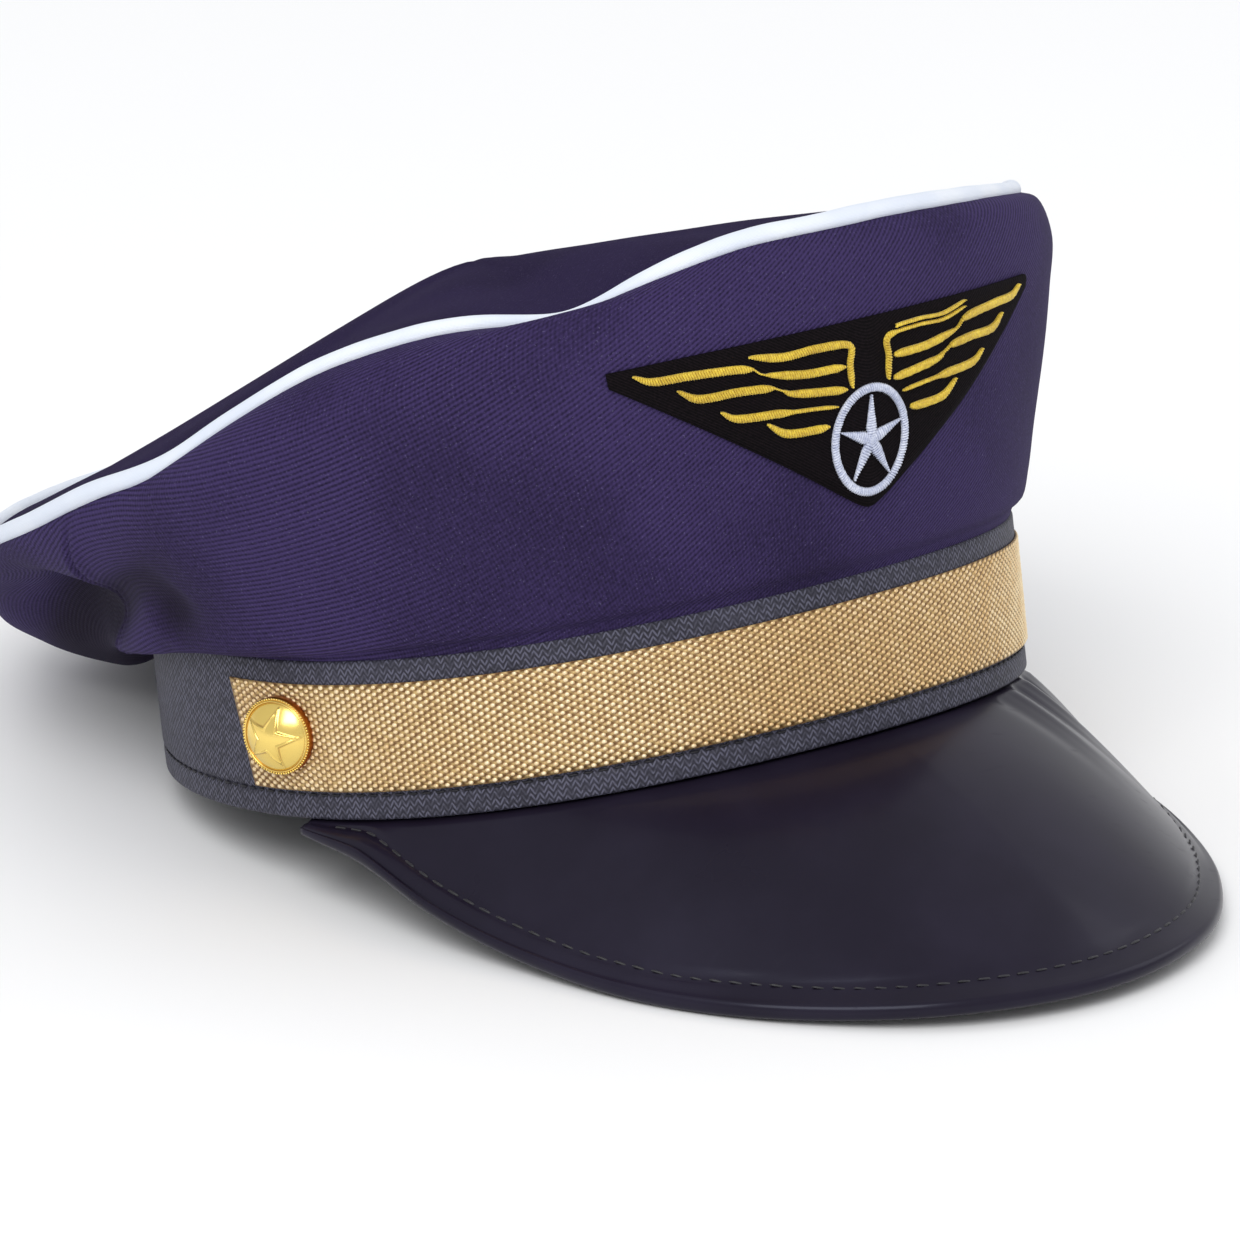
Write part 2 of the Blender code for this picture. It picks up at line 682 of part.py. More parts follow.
def make_patch(front, cloth):
    """The three-cornered patch under the embroidery."""
    grid = np.zeros((PATCH_ROWS + 1, PATCH_COLUMNS + 1, 3))
    for j in range(PATCH_COLUMNS + 1):
        share = -1 + 2 * j / PATCH_COLUMNS
        lower, upper = patch_edges(share)
        for i in range(PATCH_ROWS + 1):
            up = lower + (upper - lower) * i / PATCH_ROWS
            grid[i, j] = front.lifted(share * PATCH_WIDTH / 2, up, PATCH_GAP + PATCH_THICKNESS)
    add_sheet("badge_patch", grid, PATCH_THICKNESS, cloth)


def add_thread(front, name, path, widths, material, closed_round=False):
    """Raised satin stitching: a low rounded strip along a path of (along, up) points."""
    path = np.asarray(path, float)
    if closed_round:
        ahead = np.roll(path, -1, axis=0) - np.roll(path, 1, axis=0)
    else:
        ahead = np.gradient(path, axis=0)
    ahead /= np.linalg.norm(ahead, axis=1)[:, None]
    side = np.stack([-ahead[:, 1], ahead[:, 0]], axis=1)
    rings = []
    for centre, across, width in zip(path, side, widths):
        ring = []
        for reach, lift in ((-0.5, 0.0), (-THREAD_TOP / 2, 1.0), (THREAD_TOP / 2, 1.0), (0.5, 0.0)):
            place = centre + across * width * reach
            ring.append(front.lifted(place[0], place[1], THREAD_BASE + lift * THREAD_HEIGHT))
        rings.append(ring)
    add_loft(name, rings, material, closed_round)


def make_wings(front, thread):
    """Both wings, mirrored, each bar a little narrower at its ends."""
    for side, sign in (("right", -1), ("left", 1)):
        for bar in WING_BARS:
            points = np.array([(sign * a * PATCH_WIDTH / 2, PATCH_RISE + u * PATCH_HEIGHT)
                               for a, u in bar.points])
            count = 3 * (len(points) - 1) + 1
            path = smooth(range(len(points)), points, np.linspace(0, len(points) - 1, count))
            widths = [BAR_WIDTH] * count
            widths[0] = widths[-1] = BAR_WIDTH * BAR_END_WIDTH
            add_thread(front, f"wing_{side}_{bar.name}", path, widths, thread)


def make_ring_and_star(front, thread):
    """The ring in the middle of the badge and the star inside it, both a little narrower than tall."""
    centre = np.array([0.0, PATCH_RISE + RING_RISE])
    narrow = np.array([RING_SPAN / RING_HEIGHT, 1.0])
    half = np.array([RING_SPAN - RING_THREAD, RING_HEIGHT - RING_THREAD]) / 2
    turns = np.linspace(0, 2 * math.pi, 30, endpoint=False)
    path = [centre + half * np.array([math.sin(t), math.cos(t)]) for t in turns]
    add_thread(front, "badge_ring", path, [RING_THREAD] * len(path), thread, closed_round=True)
    outline = []
    for k in range(2 * STAR_POINTS):
        reach = STAR_WAIST if k % 2 else STAR_REACH
        turn = math.pi * k / STAR_POINTS
        outline.append(centre + reach * narrow * np.array([math.sin(turn), math.cos(turn)]))
    verts = [front.lifted(p[0], p[1], THREAD_BASE) for p in outline]
    verts += [front.lifted(p[0], p[1], THREAD_BASE + THREAD_HEIGHT / 2) for p in outline]
    verts.append(front.lifted(centre[0], centre[1], THREAD_BASE + THREAD_HEIGHT))
    verts.append(front.lifted(centre[0], centre[1], THREAD_BASE))
    count = len(outline)
    faces = []
    for k in range(count):
        n = (k + 1) % count
        faces.append((k, n, count + n, count + k))
        faces.append((count + k, count + n, 2 * count))
        faces.append((n, k, 2 * count + 1))
    add_object("badge_star", verts, faces, thread)


def place_at_rest(pitch):
    """Tip the cap back and set it on the floor, with the middle of its box over the origin."""
    rest = bpy.data.objects.new("cap_at_rest", None)
    bpy.context.collection.objects.link(rest)
    pieces = [obj for obj in bpy.data.objects if obj.type == "MESH"]
    rest.rotation_euler.x = -pitch
    for piece in pieces:
        piece.parent = rest
    bpy.context.view_layer.update()
    graph = bpy.context.evaluated_depsgraph_get()
    corners = []
    for piece in pieces:
        solid = piece.evaluated_get(graph)
        corners += [solid.matrix_world @ vert.co for vert in solid.data.vertices]
    corners = np.array(corners)
    low, high = corners.min(axis=0), corners.max(axis=0)
    rest.location = (-(low[0] + high[0]) / 2, -(low[1] + high[1]) / 2, -low[2])
    bpy.context.view_layer.update()


def build_cap():
    """Build every piece of the cap and set it down."""
    clear_scene()
    pitch = rest_pitch()
    twill = make_material("navy_twill", NAVY_TWILL, 0.85)
    thread = make_material("yellow_thread", YELLOW_THREAD, 0.5)
    silver = make_material("silver_thread", SILVER_THREAD, 0.5)
    brass = make_material("brass", BRASS, 0.2, metallic=1.0)
    make_band(make_material("band_cloth", CHARCOAL, 0.8), pitch)
    make_ribbon(make_material("gold_weave", GOLD_WEAVE, 0.4, metallic=0.6))
    make_button("button_right", -BUTTON_ANGLE, brass)
    make_button("button_left", BUTTON_ANGLE, brass)
    add_loft("peak", peak_rings(), make_material("black_vinyl", BLACK_VINYL, 0.2))
    side = side_panel()
    add_panel("crown_side", side, twill)
    add_panel("crown_back", rear_panel(), twill)
    make_crown_top(twill)
    make_piping(make_material("piping_white", PIPING_WHITE, 0.6))
    front = CrownFront(side)
    make_patch(front, make_material("patch_black", PATCH_BLACK, 0.9))
    make_wings(front, thread)
    make_ring_and_star(front, silver)
    place_at_rest(pitch)


build_cap()
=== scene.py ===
"""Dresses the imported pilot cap: twill crown, piping, embossed band, beaded gold ribbon, dome
buttons, vinyl peak and embroidered wings. Each piece follows the rule of the solid that it
stands for, drawn finer, in the cap's own frame, and is then tipped onto the floor with it."""

import json
import math
from collections import namedtuple
from functools import cache

import bmesh
import bpy
import numpy as np
from bpy.props import FloatProperty, FloatVectorProperty, PointerProperty
from bpy.types import Operator, Panel, PropertyGroup
from mathutils import Matrix, Vector

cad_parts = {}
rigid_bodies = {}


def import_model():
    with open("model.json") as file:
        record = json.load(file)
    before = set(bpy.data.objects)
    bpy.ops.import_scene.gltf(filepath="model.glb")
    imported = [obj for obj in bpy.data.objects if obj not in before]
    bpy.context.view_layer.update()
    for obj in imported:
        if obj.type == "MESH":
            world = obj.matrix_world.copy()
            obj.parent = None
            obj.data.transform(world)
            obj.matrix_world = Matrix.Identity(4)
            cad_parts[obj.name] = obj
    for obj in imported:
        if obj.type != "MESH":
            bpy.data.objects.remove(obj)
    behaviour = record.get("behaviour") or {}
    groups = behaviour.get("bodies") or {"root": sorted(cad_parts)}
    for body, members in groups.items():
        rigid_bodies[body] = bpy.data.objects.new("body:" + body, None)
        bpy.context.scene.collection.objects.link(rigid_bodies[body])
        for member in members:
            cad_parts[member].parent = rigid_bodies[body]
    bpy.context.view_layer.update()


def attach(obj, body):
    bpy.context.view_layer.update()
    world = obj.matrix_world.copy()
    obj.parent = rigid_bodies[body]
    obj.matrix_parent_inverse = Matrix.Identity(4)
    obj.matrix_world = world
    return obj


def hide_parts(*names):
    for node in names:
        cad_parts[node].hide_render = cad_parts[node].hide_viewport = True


bl_info = {
    "name": "Pilot cap",
    "version": (1, 0, 0),
    "blender": (4, 5, 0),
    "location": "3D View > Sidebar > Cap",
    "description": "Dresses the pilot cap in cloth, vinyl, beaded ribbon and embroidery",
    "category": "Object",
}

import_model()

MM = 0.001

# How the cap lies: tipped back onto its peak and the back of its band
PITCH = 0.1708151
REST = np.array([0.0, 4.7133, 15.6996]) * MM

# Shapes shared with the solids
GAP = 0.3 * MM
BAND_LENGTH = 190.6 * MM
BAND_WIDTH = 183.4 * MM
BAND_HEIGHT = 34.0 * MM
BAND_WALL = 2.4 * MM
BAND_ARCH = 7.4 * MM
BAND_PRESS = 0.5 * MM
RIBBON_WIDTH = 22.8 * MM
RIBBON_RISE = 6.2 * MM
RIBBON_END = 92.0
RIBBON_END_LEAN = 1.5
BUTTON_ANGLE = 83.5
BUTTON_DIAMETER = 16.5 * MM
BUTTON_RIM_WIDTH = 0.95 * MM
BUTTON_TURN = 0.22
BUTTON_SEAT = 2.3 * MM
BUTTON_LIFT = 0.8 * MM
BUTTON_FOOT = 1.9
BUTTON_STAR = (6.3 * MM, 2.5 * MM)
PEAK_PROJECTION = 65.0 * MM
PEAK_DROP = 46.5 * MM
PEAK_THICKNESS = 1.8 * MM
PEAK_EDGE_BEAD = 3.4 * MM
PEAK_END = 82.0
PEAK_BEND_OUT = 0.42
PEAK_BEND_DOWN = 0.22
PEAK_BEND_CORNER = 0.20
CROWN_RISE = 75.0 * MM
SEAM_OVER_FRONT = 5.8 * MM
SEAM_OVER_SIDE = 15.8 * MM
SEAM_OVER_BACK = 52.0 * MM
TOP_CENTRE_RISE = 65.5 * MM
TOP_SOFTNESS = 0.12
TOP_DRAPE_ENDS = 0.74
TOP_DRAPE_SIDES = 1.0
QUARTER_FOOT = 126.0
QUARTER_HEAD = 94.0
BADGE_SHIFT = -4.3 * MM
PATCH_WIDTH = 110.0 * MM
PATCH_HEIGHT = 41.0 * MM
PATCH_RISE = 14.0 * MM
PATCH_TIP_DROP = 0.06
PATCH_SIDE_RISE = 0.88
PATCH_CORNER = 0.045
RING_HEIGHT = 24.0 * MM
RING_SPAN = 20.6 * MM
RING_RISE = 15.3 * MM
STAR_REACH = 9.4 * MM
STAR_POINTS = 5

# Grids of the large pieces: columns round or along them, rows across them
WALL_GRID = (420, 58)
TOP_GRID = (360, 40)
PIPING_GRID = (480, 16)
BAND_COLUMNS = 480
RIBBON_GRID = (300, 9)
BUTTON_GRID = (160, 44)
PEAK_GRID = (261, 47)
PATCH_GRID = (180, 14)

# Small shapes of the cloth: soft edges, dents and swells
BAND_SOFT_EDGE = 0.9 * MM
BAND_DENT = 0.55 * MM
HEM_GROOVE = 0.45 * MM
HEM_GROOVE_WIDTH = 0.7 * MM
HEM_PUFF = 0.55 * MM
HEM_LEAST = 0.3
QUARTER_GROOVE = 0.9 * MM
QUARTER_SWELL = 0.5 * MM

# Reach and height that turn the wall's angles and shares into lengths, and where shade is painted into
# its folds and sagging back
WALL_REACH = 110.0 * MM
WALL_HEIGHT = 62.0 * MM
QUARTER_REACH = 115.0 * MM
PAINTED_SHADE_DEPTH = 3.4 * MM
PAINTED_SHADE_MIDDLE = 0.40
PAINTED_SHADE_SPREAD = 0.21
PAINTED_SHADE_EDGE = 4.0
PAINTED_SHADE_END = 146.0
PAINTED_SHADE_FADE = 12.0

# The part of the wall that the badge can lie on: degrees to each side, heights over the band
FRONT_SPAN = 66.0
FRONT_LEVELS = np.arange(4.0, 68.0, 0.5) * MM

# Height of the seam over the band's top, as a share of CROWN_RISE, at each angle from the front
Seam = namedtuple("Seam", "angle rise")
SEAM_HEIGHTS = (
    Seam(0, 1.000), Seam(20, 0.968), Seam(40, 0.915), Seam(50, 0.895), Seam(60, 0.835),
    Seam(70, 0.712), Seam(80, 0.576), Seam(90, 0.493), Seam(105, 0.348), Seam(120, 0.238),
    Seam(135, 0.168), Seam(155, 0.150), Seam(180, 0.150),
)
Dip = namedtuple("Dip", "angle spread depth")
SEAM_DIPS = (Dip(-34, 7, 0.055), Dip(-15, 8, -0.022))

# Sections of the crown wall: (across, up) as shares of the way out to the seam and of CROWN_RISE
Section = namedtuple("Section", "angle hem fold turn low middle high shoulder")
WALL_SECTIONS = (
    Section(0, (0.42, 0.045), (0.76, 0.110), (1.02, 0.213), (1.40, 0.400), (1.82, 0.640),
            (2.00, 0.825), (1.75, 0.930)),
    Section(50, (0.40, 0.040), (0.64, 0.105), (0.93, 0.220), (1.47, 0.420), (1.82, 0.590),
            (2.00, 0.725), (1.72, 0.825)),
    Section(90, (0.12, 0.010), (0.24, 0.015), (0.36, 0.065), (0.58, 0.180), (0.86, 0.308),
            (1.00, 0.382), (1.03, 0.432)),
    Section(110, (0.08, 0.000), (0.17, -0.050), (0.28, -0.040), (0.32, 0.065), (0.54, 0.160),
            (0.88, 0.215), (1.03, 0.265)),
    Section(127, (0.06, 0.000), (0.14, -0.105), (0.25, -0.105), (0.27, 0.020), (0.36, 0.105),
            (0.70, 0.085), (1.03, 0.105)),
    Section(138, (0.05, -0.010), (0.13, -0.135), (0.26, -0.175), (0.46, -0.160), (0.72, -0.120),
            (0.98, -0.070), (1.07, 0.015)),
    Section(150, (0.045, -0.020), (0.13, -0.200), (0.30, -0.275), (0.55, -0.275), (0.81, -0.235),
            (1.03, -0.145), (1.09, -0.010)),
    Section(180, (0.04, -0.020), (0.134, -0.180), (0.33, -0.270), (0.59, -0.295), (0.87, -0.260),
            (1.05, -0.140), (1.07, 0.020)),
)

# Sections of the peak, from its middle to its corner
PeakRow = namedtuple("PeakRow", "angle out down")
PEAK_SECTIONS = (
    PeakRow(0.00, 1.000, 1.000), PeakRow(0.15, 0.930, 0.970), PeakRow(0.30, 0.735, 0.910),
    PeakRow(0.45, 0.515, 0.800), PeakRow(0.60, 0.300, 0.625), PeakRow(0.75, 0.170, 0.385),
    PeakRow(0.88, 0.085, 0.150), PeakRow(1.00, 0.030, 0.050),
)
PEAK_DIP = Dip(68, 11, 0.210)

# Soft pleats that fan out from the band over the peak: angle, half width in degrees, depth
Pleat = namedtuple("Pleat", "angle spread depth")
PEAK_PLEATS = (
    Pleat(26, 2.0, 0.5 * MM), Pleat(31, 1.4, -0.5 * MM), Pleat(35, 1.3, 0.8 * MM),
    Pleat(39.5, 1.4, -0.8 * MM), Pleat(44, 1.3, 0.9 * MM), Pleat(49, 1.8, -0.7 * MM),
)

# Bars of one wing: (along, up) as shares of half the patch's width and of its height
Bar = namedtuple("Bar", "name points")
WING_BARS = (
    Bar("bar_1", ((0.084, 0.668), (0.089, 0.780), (0.089, 0.883), (0.227, 0.902), (0.364, 0.893),
                  (0.491, 0.924))),
    Bar("bar_2", ((0.482, 0.861), (0.564, 0.873), (0.718, 0.878), (0.845, 0.876), (0.909, 0.915))),
    Bar("bar_3", ((0.116, 0.780), (0.182, 0.780), (0.291, 0.785), (0.436, 0.820))),
    Bar("bar_4", ((0.409, 0.746), (0.545, 0.756), (0.691, 0.754), (0.764, 0.810))),
    Bar("bar_5", ((0.113, 0.663), (0.164, 0.668), (0.327, 0.695), (0.373, 0.722))),
    Bar("bar_6", ((0.156, 0.585), (0.255, 0.598), (0.400, 0.610), (0.555, 0.620), (0.618, 0.668))),
    Bar("bar_7", ((0.196, 0.493), (0.255, 0.488), (0.373, 0.500), (0.445, 0.566))),
)

# Bars that start thin at the ring: where they begin and end to swell, as shares, and how thin
THIN_STARTS = {"bar_1": (0.28, 0.42, 0.80), "bar_6": (0.38, 0.50, 0.45)}

# Thin threads that lead on from a bar's tip, and the bar that is sewn double in its outer part
LINKS = {"bar_3": ((0.482, 0.861),), "bar_5": ((0.409, 0.746),)}
SPLIT_BAR = ("left", "bar_1")
SPLIT_RISE = 1.25 * MM
BAR_STEPS = 12
BAR_SLANT = -24
BADGE_LIFT = 0.25 * MM

# Soft folds of the crown wall: ends as (angle, share of the way up), half width, depth inwards
Fold = namedtuple("Fold", "start end width depth")
WALL_FOLDS = (
    Fold((-122, 0.36), (-86, 0.64), 6.0 * MM, 3.2 * MM),
    Fold((-112, 0.62), (-96, 0.84), 6.0 * MM, -1.4 * MM),
    Fold((-98, 0.30), (-86, 0.50), 8.0 * MM, 3.0 * MM),
    Fold((-62, 0.10), (-44, 0.55), 9.0 * MM, 0.9 * MM),
    Fold((-96, 0.15), (-70, 0.22), 6.0 * MM, -0.9 * MM),
    Fold((118, 0.28), (80, 0.60), 6.0 * MM, 1.6 * MM),
    Fold((60, 0.12), (42, 0.60), 9.0 * MM, 1.0 * MM),
    Fold((150, 0.20), (170, 0.75), 8.0 * MM, 1.2 * MM),
    Fold((-150, 0.15), (-168, 0.70), 8.0 * MM, 1.0 * MM),
)

# Edge of a button outside its dome: distance inside the radius, rise as a share of the rim, and
# darkening: tarnish at the dome's edge, painted shadow on the outer rim and skirt
Lip = namedtuple("Lip", "inset rise groove")
BUTTON_LIP = (
    Lip(0.89 * MM, 0.84, 0.5), Lip(0.77 * MM, 1.02, 0.0), Lip(0.63 * MM, 0.96, 0.0),
    Lip(0.50 * MM, 0.74, 0.6), Lip(0.10 * MM, 0.66, 0.8), Lip(0.0, 0.20, 1.0),
    Lip(0.30 * MM, -BUTTON_FOOT, 1.0),
)

# The buttons: angle on the band, and how far each star is turned
Button = namedtuple("Button", "name angle tilt")
BUTTONS = (Button("right", -BUTTON_ANGLE, 18.0), Button("left", BUTTON_ANGLE, -7.0))

# Small threads: width, length and height
BAND_STITCH = (0.50 * MM, 2.3 * MM, 0.50 * MM)
PEAK_STITCH = (0.55 * MM, 3.1 * MM, 0.50 * MM)
ROPE_THREAD = (0.46 * MM, 0.62 * MM, 0.46 * MM)

# Lights of the stage: where each stands, how high it aims, its size, and which power it takes
Lamp = namedtuple("Lamp", "name place aim size power")
LAMPS = (
    Lamp("key", (-1.3, -1.0, 1.7), 0.08, 1.3, "key"),
    Lamp("fill", (1.2, -0.5, 0.9), 0.06, 0.8, "fill"),
    Lamp("rim", (0.3, 1.4, 1.5), 0.10, 1.0, "fill"),
)
FLOOR_REACH = 6.0
SKY = (0.97, 0.98, 1.0, 1.0)

# The camera at the photograph's angle: its place in metres, its angles in degrees
CAMERA_PLACE = (-1.224366, -1.424379, 0.693288)
CAMERA_ANGLES = (-40.737, 19.187, 0.4387)


def smooth(knots, values, at):
    """Pass a smooth curve through values at knots and read it at the places asked for."""
    knots = np.asarray(knots, float)
    values = np.asarray(values, float)
    flat = values.reshape(len(knots), -1)
    step = np.diff(knots)[:, None]
    slope = np.diff(flat, axis=0) / step
    tangent = np.zeros_like(flat)
    tangent[1:-1] = (slope[:-1] * step[1:] + slope[1:] * step[:-1]) / (step[:-1] + step[1:])
    tangent[0] = slope[0]
    tangent[-1] = slope[-1]
    at = np.clip(np.atleast_1d(at), knots[0], knots[-1])
    i = np.clip(np.searchsorted(knots, at, side="right") - 1, 0, len(knots) - 2)
    width = step[i]
    t = ((at - knots[i])[:, None]) / width
    first = (2 * t**3 - 3 * t**2 + 1) * flat[i] + (t**3 - 2 * t**2 + t) * width * tangent[i]
    second = (3 * t**2 - 2 * t**3) * flat[i + 1] + (t**3 - t**2) * width * tangent[i + 1]
    return (first + second).reshape((len(at),) + values.shape[1:])


def smooth_round(table, values, angles):
    """Read a front-to-back table at angles, the same on both sides and level at front and back."""
    knots = [row.angle for row in table]
    knots = [-knots[1]] + knots + [360 - knots[-2]]
    values = [values[1]] + list(values) + [values[-2]]
    folded = np.abs((np.atleast_1d(angles) + 180.0) % 360.0 - 180.0)
    return smooth(knots, values, folded)


def unit(vectors):
    """Vectors of length one."""
    return vectors / np.maximum(np.linalg.norm(vectors, axis=-1, keepdims=True), 1e-12)


def outward(angles):
    """Level unit vectors pointing out of the cap at angles from the front."""
    turn = np.radians(np.atleast_1d(angles))
    return np.stack([np.sin(turn), -np.cos(turn), np.zeros_like(turn)], -1)


def full_turn(columns):
    """Angles all round the cap, from its back by the wearer's right."""
    return np.linspace(-180.0, 180.0, columns, endpoint=False)


def bell(away, width):
    """A soft swell: 1 in its middle, and fading out over a width."""
    return np.exp(-(away / width) ** 2)


def band_points(angles, inset=0.0, height=0.0):
    """Points on the band, inset from its outer face, at a height over its lower rim."""
    turn = np.radians(np.atleast_1d(angles))
    arch = BAND_ARCH * np.maximum(np.cos(turn), 0.0) ** 2
    x = (BAND_WIDTH / 2 - inset) * np.sin(turn)
    y = -(BAND_LENGTH / 2 - inset) * np.cos(turn)
    return np.stack([x, y, arch + height + np.zeros_like(turn)], -1)


def seam_points(angles):
    """Points on the seam that joins the crown's wall to its top."""
    angles = np.atleast_1d(angles)
    turn = np.radians(angles)
    share = smooth_round(SEAM_HEIGHTS, [row.rise for row in SEAM_HEIGHTS], angles)
    for dip in SEAM_DIPS:
        away = (angles - dip.angle + 180.0) % 360.0 - 180.0
        share = share - dip.depth * bell(away, dip.spread)
    front = -(BAND_LENGTH / 2 + SEAM_OVER_FRONT)
    back = BAND_LENGTH / 2 + SEAM_OVER_BACK
    y = (front + back) / 2 - (back - front) / 2 * np.cos(turn)
    x = (BAND_WIDTH / 2 + SEAM_OVER_SIDE) * np.sin(turn)
    base = band_points(angles, height=BAND_HEIGHT)
    return np.stack([x, y, base[:, 2] + share * CROWN_RISE], -1)


def ripple(points, size, seed):
    """Smooth, repeatable unevenness from -1 to 1, made of a few crossed waves."""
    rng = np.random.default_rng(seed)
    total = 0.0
    for _ in range(6):
        direction = unit(rng.normal(size=3))
        length = size * rng.uniform(0.7, 1.6)
        total = total + np.sin(points @ direction * 2 * math.pi / length + rng.uniform(0, 6.3))
    return total / 6


def fold_depths(folds, angles, shares):
    """Depth of a set of folds over the wall's grid of angles and shares of the way up."""
    along, up = np.meshgrid(np.radians(angles) * WALL_REACH, shares * WALL_HEIGHT, indexing="ij")
    depth = np.zeros_like(along)
    for fold in folds:
        a, b = (np.array([math.radians(end[0]) * WALL_REACH, end[1] * WALL_HEIGHT])
                for end in (fold.start, fold.end))
        line = b - a
        place = ((along - a[0]) * line[0] + (up - a[1]) * line[1]) / (line @ line)
        held = np.clip(place, 0, 1)
        away = np.hypot(along - a[0] - held * line[0], up - a[1] - held * line[1])
        depth += fold.depth * (0.25 + 0.75 * np.sin(np.pi * held)) * bell(away, fold.width)
    return depth


def grid_normals(grid, closed):
    """Normals of a grid of points: columns first, rows second."""
    if closed:
        around = np.roll(grid, -1, axis=0) - np.roll(grid, 1, axis=0)
    else:
        around = np.gradient(grid, axis=0)
    return unit(np.cross(around, np.gradient(grid, axis=1)))


def lengths_along(points):
    """Distance along rows of points from their first one."""
    steps = np.linalg.norm(np.diff(points, axis=-2), axis=-1)
    start = np.zeros(steps.shape[:-1] + (1,))
    return np.concatenate([start, np.cumsum(steps, axis=-1)], axis=-1)


def at_rest(points):
    """Points of the cap's own frame, tipped onto the floor."""
    points = np.asarray(points, float)
    c, s = math.cos(PITCH), math.sin(PITCH)
    y, z = points[..., 1], points[..., 2]
    return np.stack([points[..., 0], y * c + z * s, z * c - y * s], -1) + REST


def turned_to_rest(vectors):
    """Directions of the cap's own frame, tipped as the cap is."""
    return at_rest(vectors) - REST


def add_object(name, data):
    """Put new data into the scene as an object."""
    obj = bpy.data.objects.new(name, data)
    bpy.context.scene.collection.objects.link(obj)
    return obj


def face_outward(mesh):
    """Make all faces of a mesh look out of it."""
    shell = bmesh.new()
    shell.from_mesh(mesh)
    bmesh.ops.recalc_face_normals(shell, faces=shell.faces)
    shell.to_mesh(mesh)
    shell.free()


def store(mesh, name, values, kind="FLOAT"):
    """Keep a number or a vector at every point of a mesh."""
    field = "vector" if kind == "FLOAT_VECTOR" else "value"
    values = np.array(values, np.float32).ravel()
    mesh.attributes.new(name, kind, "POINT").data.foreach_set(field, values)


def add_mesh(name, points, faces, finish, corners=None, fix=True):
    """Add a mesh from points in the cap's own frame. corners holds a UV pair for each face corner."""
    mesh = bpy.data.meshes.new(name)
    mesh.from_pydata(at_rest(points).tolist(), [], faces)
    if corners is not None:
        layer = mesh.uv_layers.new(name="cloth")
        layer.data.foreach_set("uv", np.asarray(corners, np.float32).ravel())
    if fix:
        face_outward(mesh)
    mesh.shade_smooth()
    mesh.materials.append(finish)
    return add_object(name, mesh)


def grid_faces(columns, rows, spans, steps):
    """Corners of the faces of a grid whose points are numbered column by column. It closes on
    itself where there are as many spans as columns, or as many steps as rows."""
    i, j = (v.ravel() for v in np.meshgrid(np.arange(spans), np.arange(steps), indexing="ij"))
    n, k = (i + 1) % columns, (j + 1) % rows
    return np.stack([i * rows + j, n * rows + j, n * rows + k, i * rows + k], -1)


def capped_faces(columns, rows):
    """Faces of a round grid, with one point over its first row and one behind its last."""
    faces = grid_faces(columns, rows, columns, rows - 1).tolist()
    first, last = columns * rows, columns * rows + 1
    for a in range(columns):
        b = (a + 1) % columns
        faces += [[first, b * rows, a * rows], [last, a * rows + rows - 1, b * rows + rows - 1]]
    return faces


def loft(name, rings, finish, closed=True, uv=None, row=0):
    """Add a closed skin through rings of points (columns, section, xyz). uv has one more column
    and one more section point than the skin where it closes on itself; it is measured without one."""
    if uv is None:
        uv = ring_uv(rings, closed, row)
    columns, sides = rings.shape[:2]
    spans = columns if closed else columns - 1
    faces = grid_faces(columns, sides, spans, sides).tolist()
    corners = uv.reshape(-1, 2)[grid_faces(len(uv), uv.shape[1], spans, sides)].reshape(-1, 2)
    if not closed:
        faces += [list(range(sides)), [(columns - 1) * sides + s for s in range(sides)]]
        corners = np.concatenate([corners, uv[0, :sides], uv[-1, :sides]])
    return add_mesh(name, rings.reshape(-1, 3), faces, finish, corners)


def doubled(values):
    """Values of a sheet's outer face, given to the whole closed section of the sheet."""
    return np.concatenate([values, values[:, -1:], values[:, ::-1], values[:, :1]], axis=1)


def ring_uv(rings, closed, row):
    """UV in metres for a loft: along the columns, and round the section."""
    if closed:
        rings = np.concatenate([rings, rings[:1]], axis=0)
    rings = np.concatenate([rings, rings[:, :1]], axis=1)
    along = lengths_along(rings[None, :, row])[0]
    round_section = lengths_along(rings)
    return np.stack([along[:, None] + 0 * round_section, round_section], -1)


def wear(piece, slot, *nodes):
    """Let a finished piece ride on the cap and stand for its solids. The slot is not used."""
    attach(piece, "root")
    if nodes:
        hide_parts(*nodes)


class Value:
    """A socket of a node tree that takes part in sums."""

    def __init__(self, nodes, socket):
        self.nodes = nodes
        self.socket = socket

    def calc(self, operation, *values, kind="ShaderNodeMath"):
        """Add one Math node with this value first."""
        return self.nodes.node(kind, {"operation": operation}, dict(enumerate((self,) + values)))

    def move(self, operation, value):
        """Add one Vector Math node with this value first."""
        return self.calc(operation, value, kind="ShaderNodeVectorMath")

    def __add__(self, other):
        return self.calc("ADD", other)

    def __sub__(self, other):
        return self.calc("SUBTRACT", other)

    def __rsub__(self, other):
        return self.calc("MULTIPLY", -1.0) + other

    def __mul__(self, other):
        return self.calc("MULTIPLY", other)

    def __truediv__(self, other):
        return self.calc("DIVIDE", other)

    def wave(self, pitch):
        """Sine wave from -1 to 1 of a given length."""
        return (self * (2 * math.pi / pitch)).calc("SINE")

    def ridges(self, pitch):
        """Sine wave from 0 to 1 of a given length."""
        return self.wave(pitch) * 0.5 + 0.5

    def size(self):
        """The value without its sign."""
        return self.calc("ABSOLUTE")

    def above(self, low, high):
        """0 below low, 1 above high, and smooth in between."""
        return self.nodes.node("ShaderNodeMapRange", {"interpolation_type": "SMOOTHSTEP"},
                               {"Value": self, "From Min": low, "From Max": high})


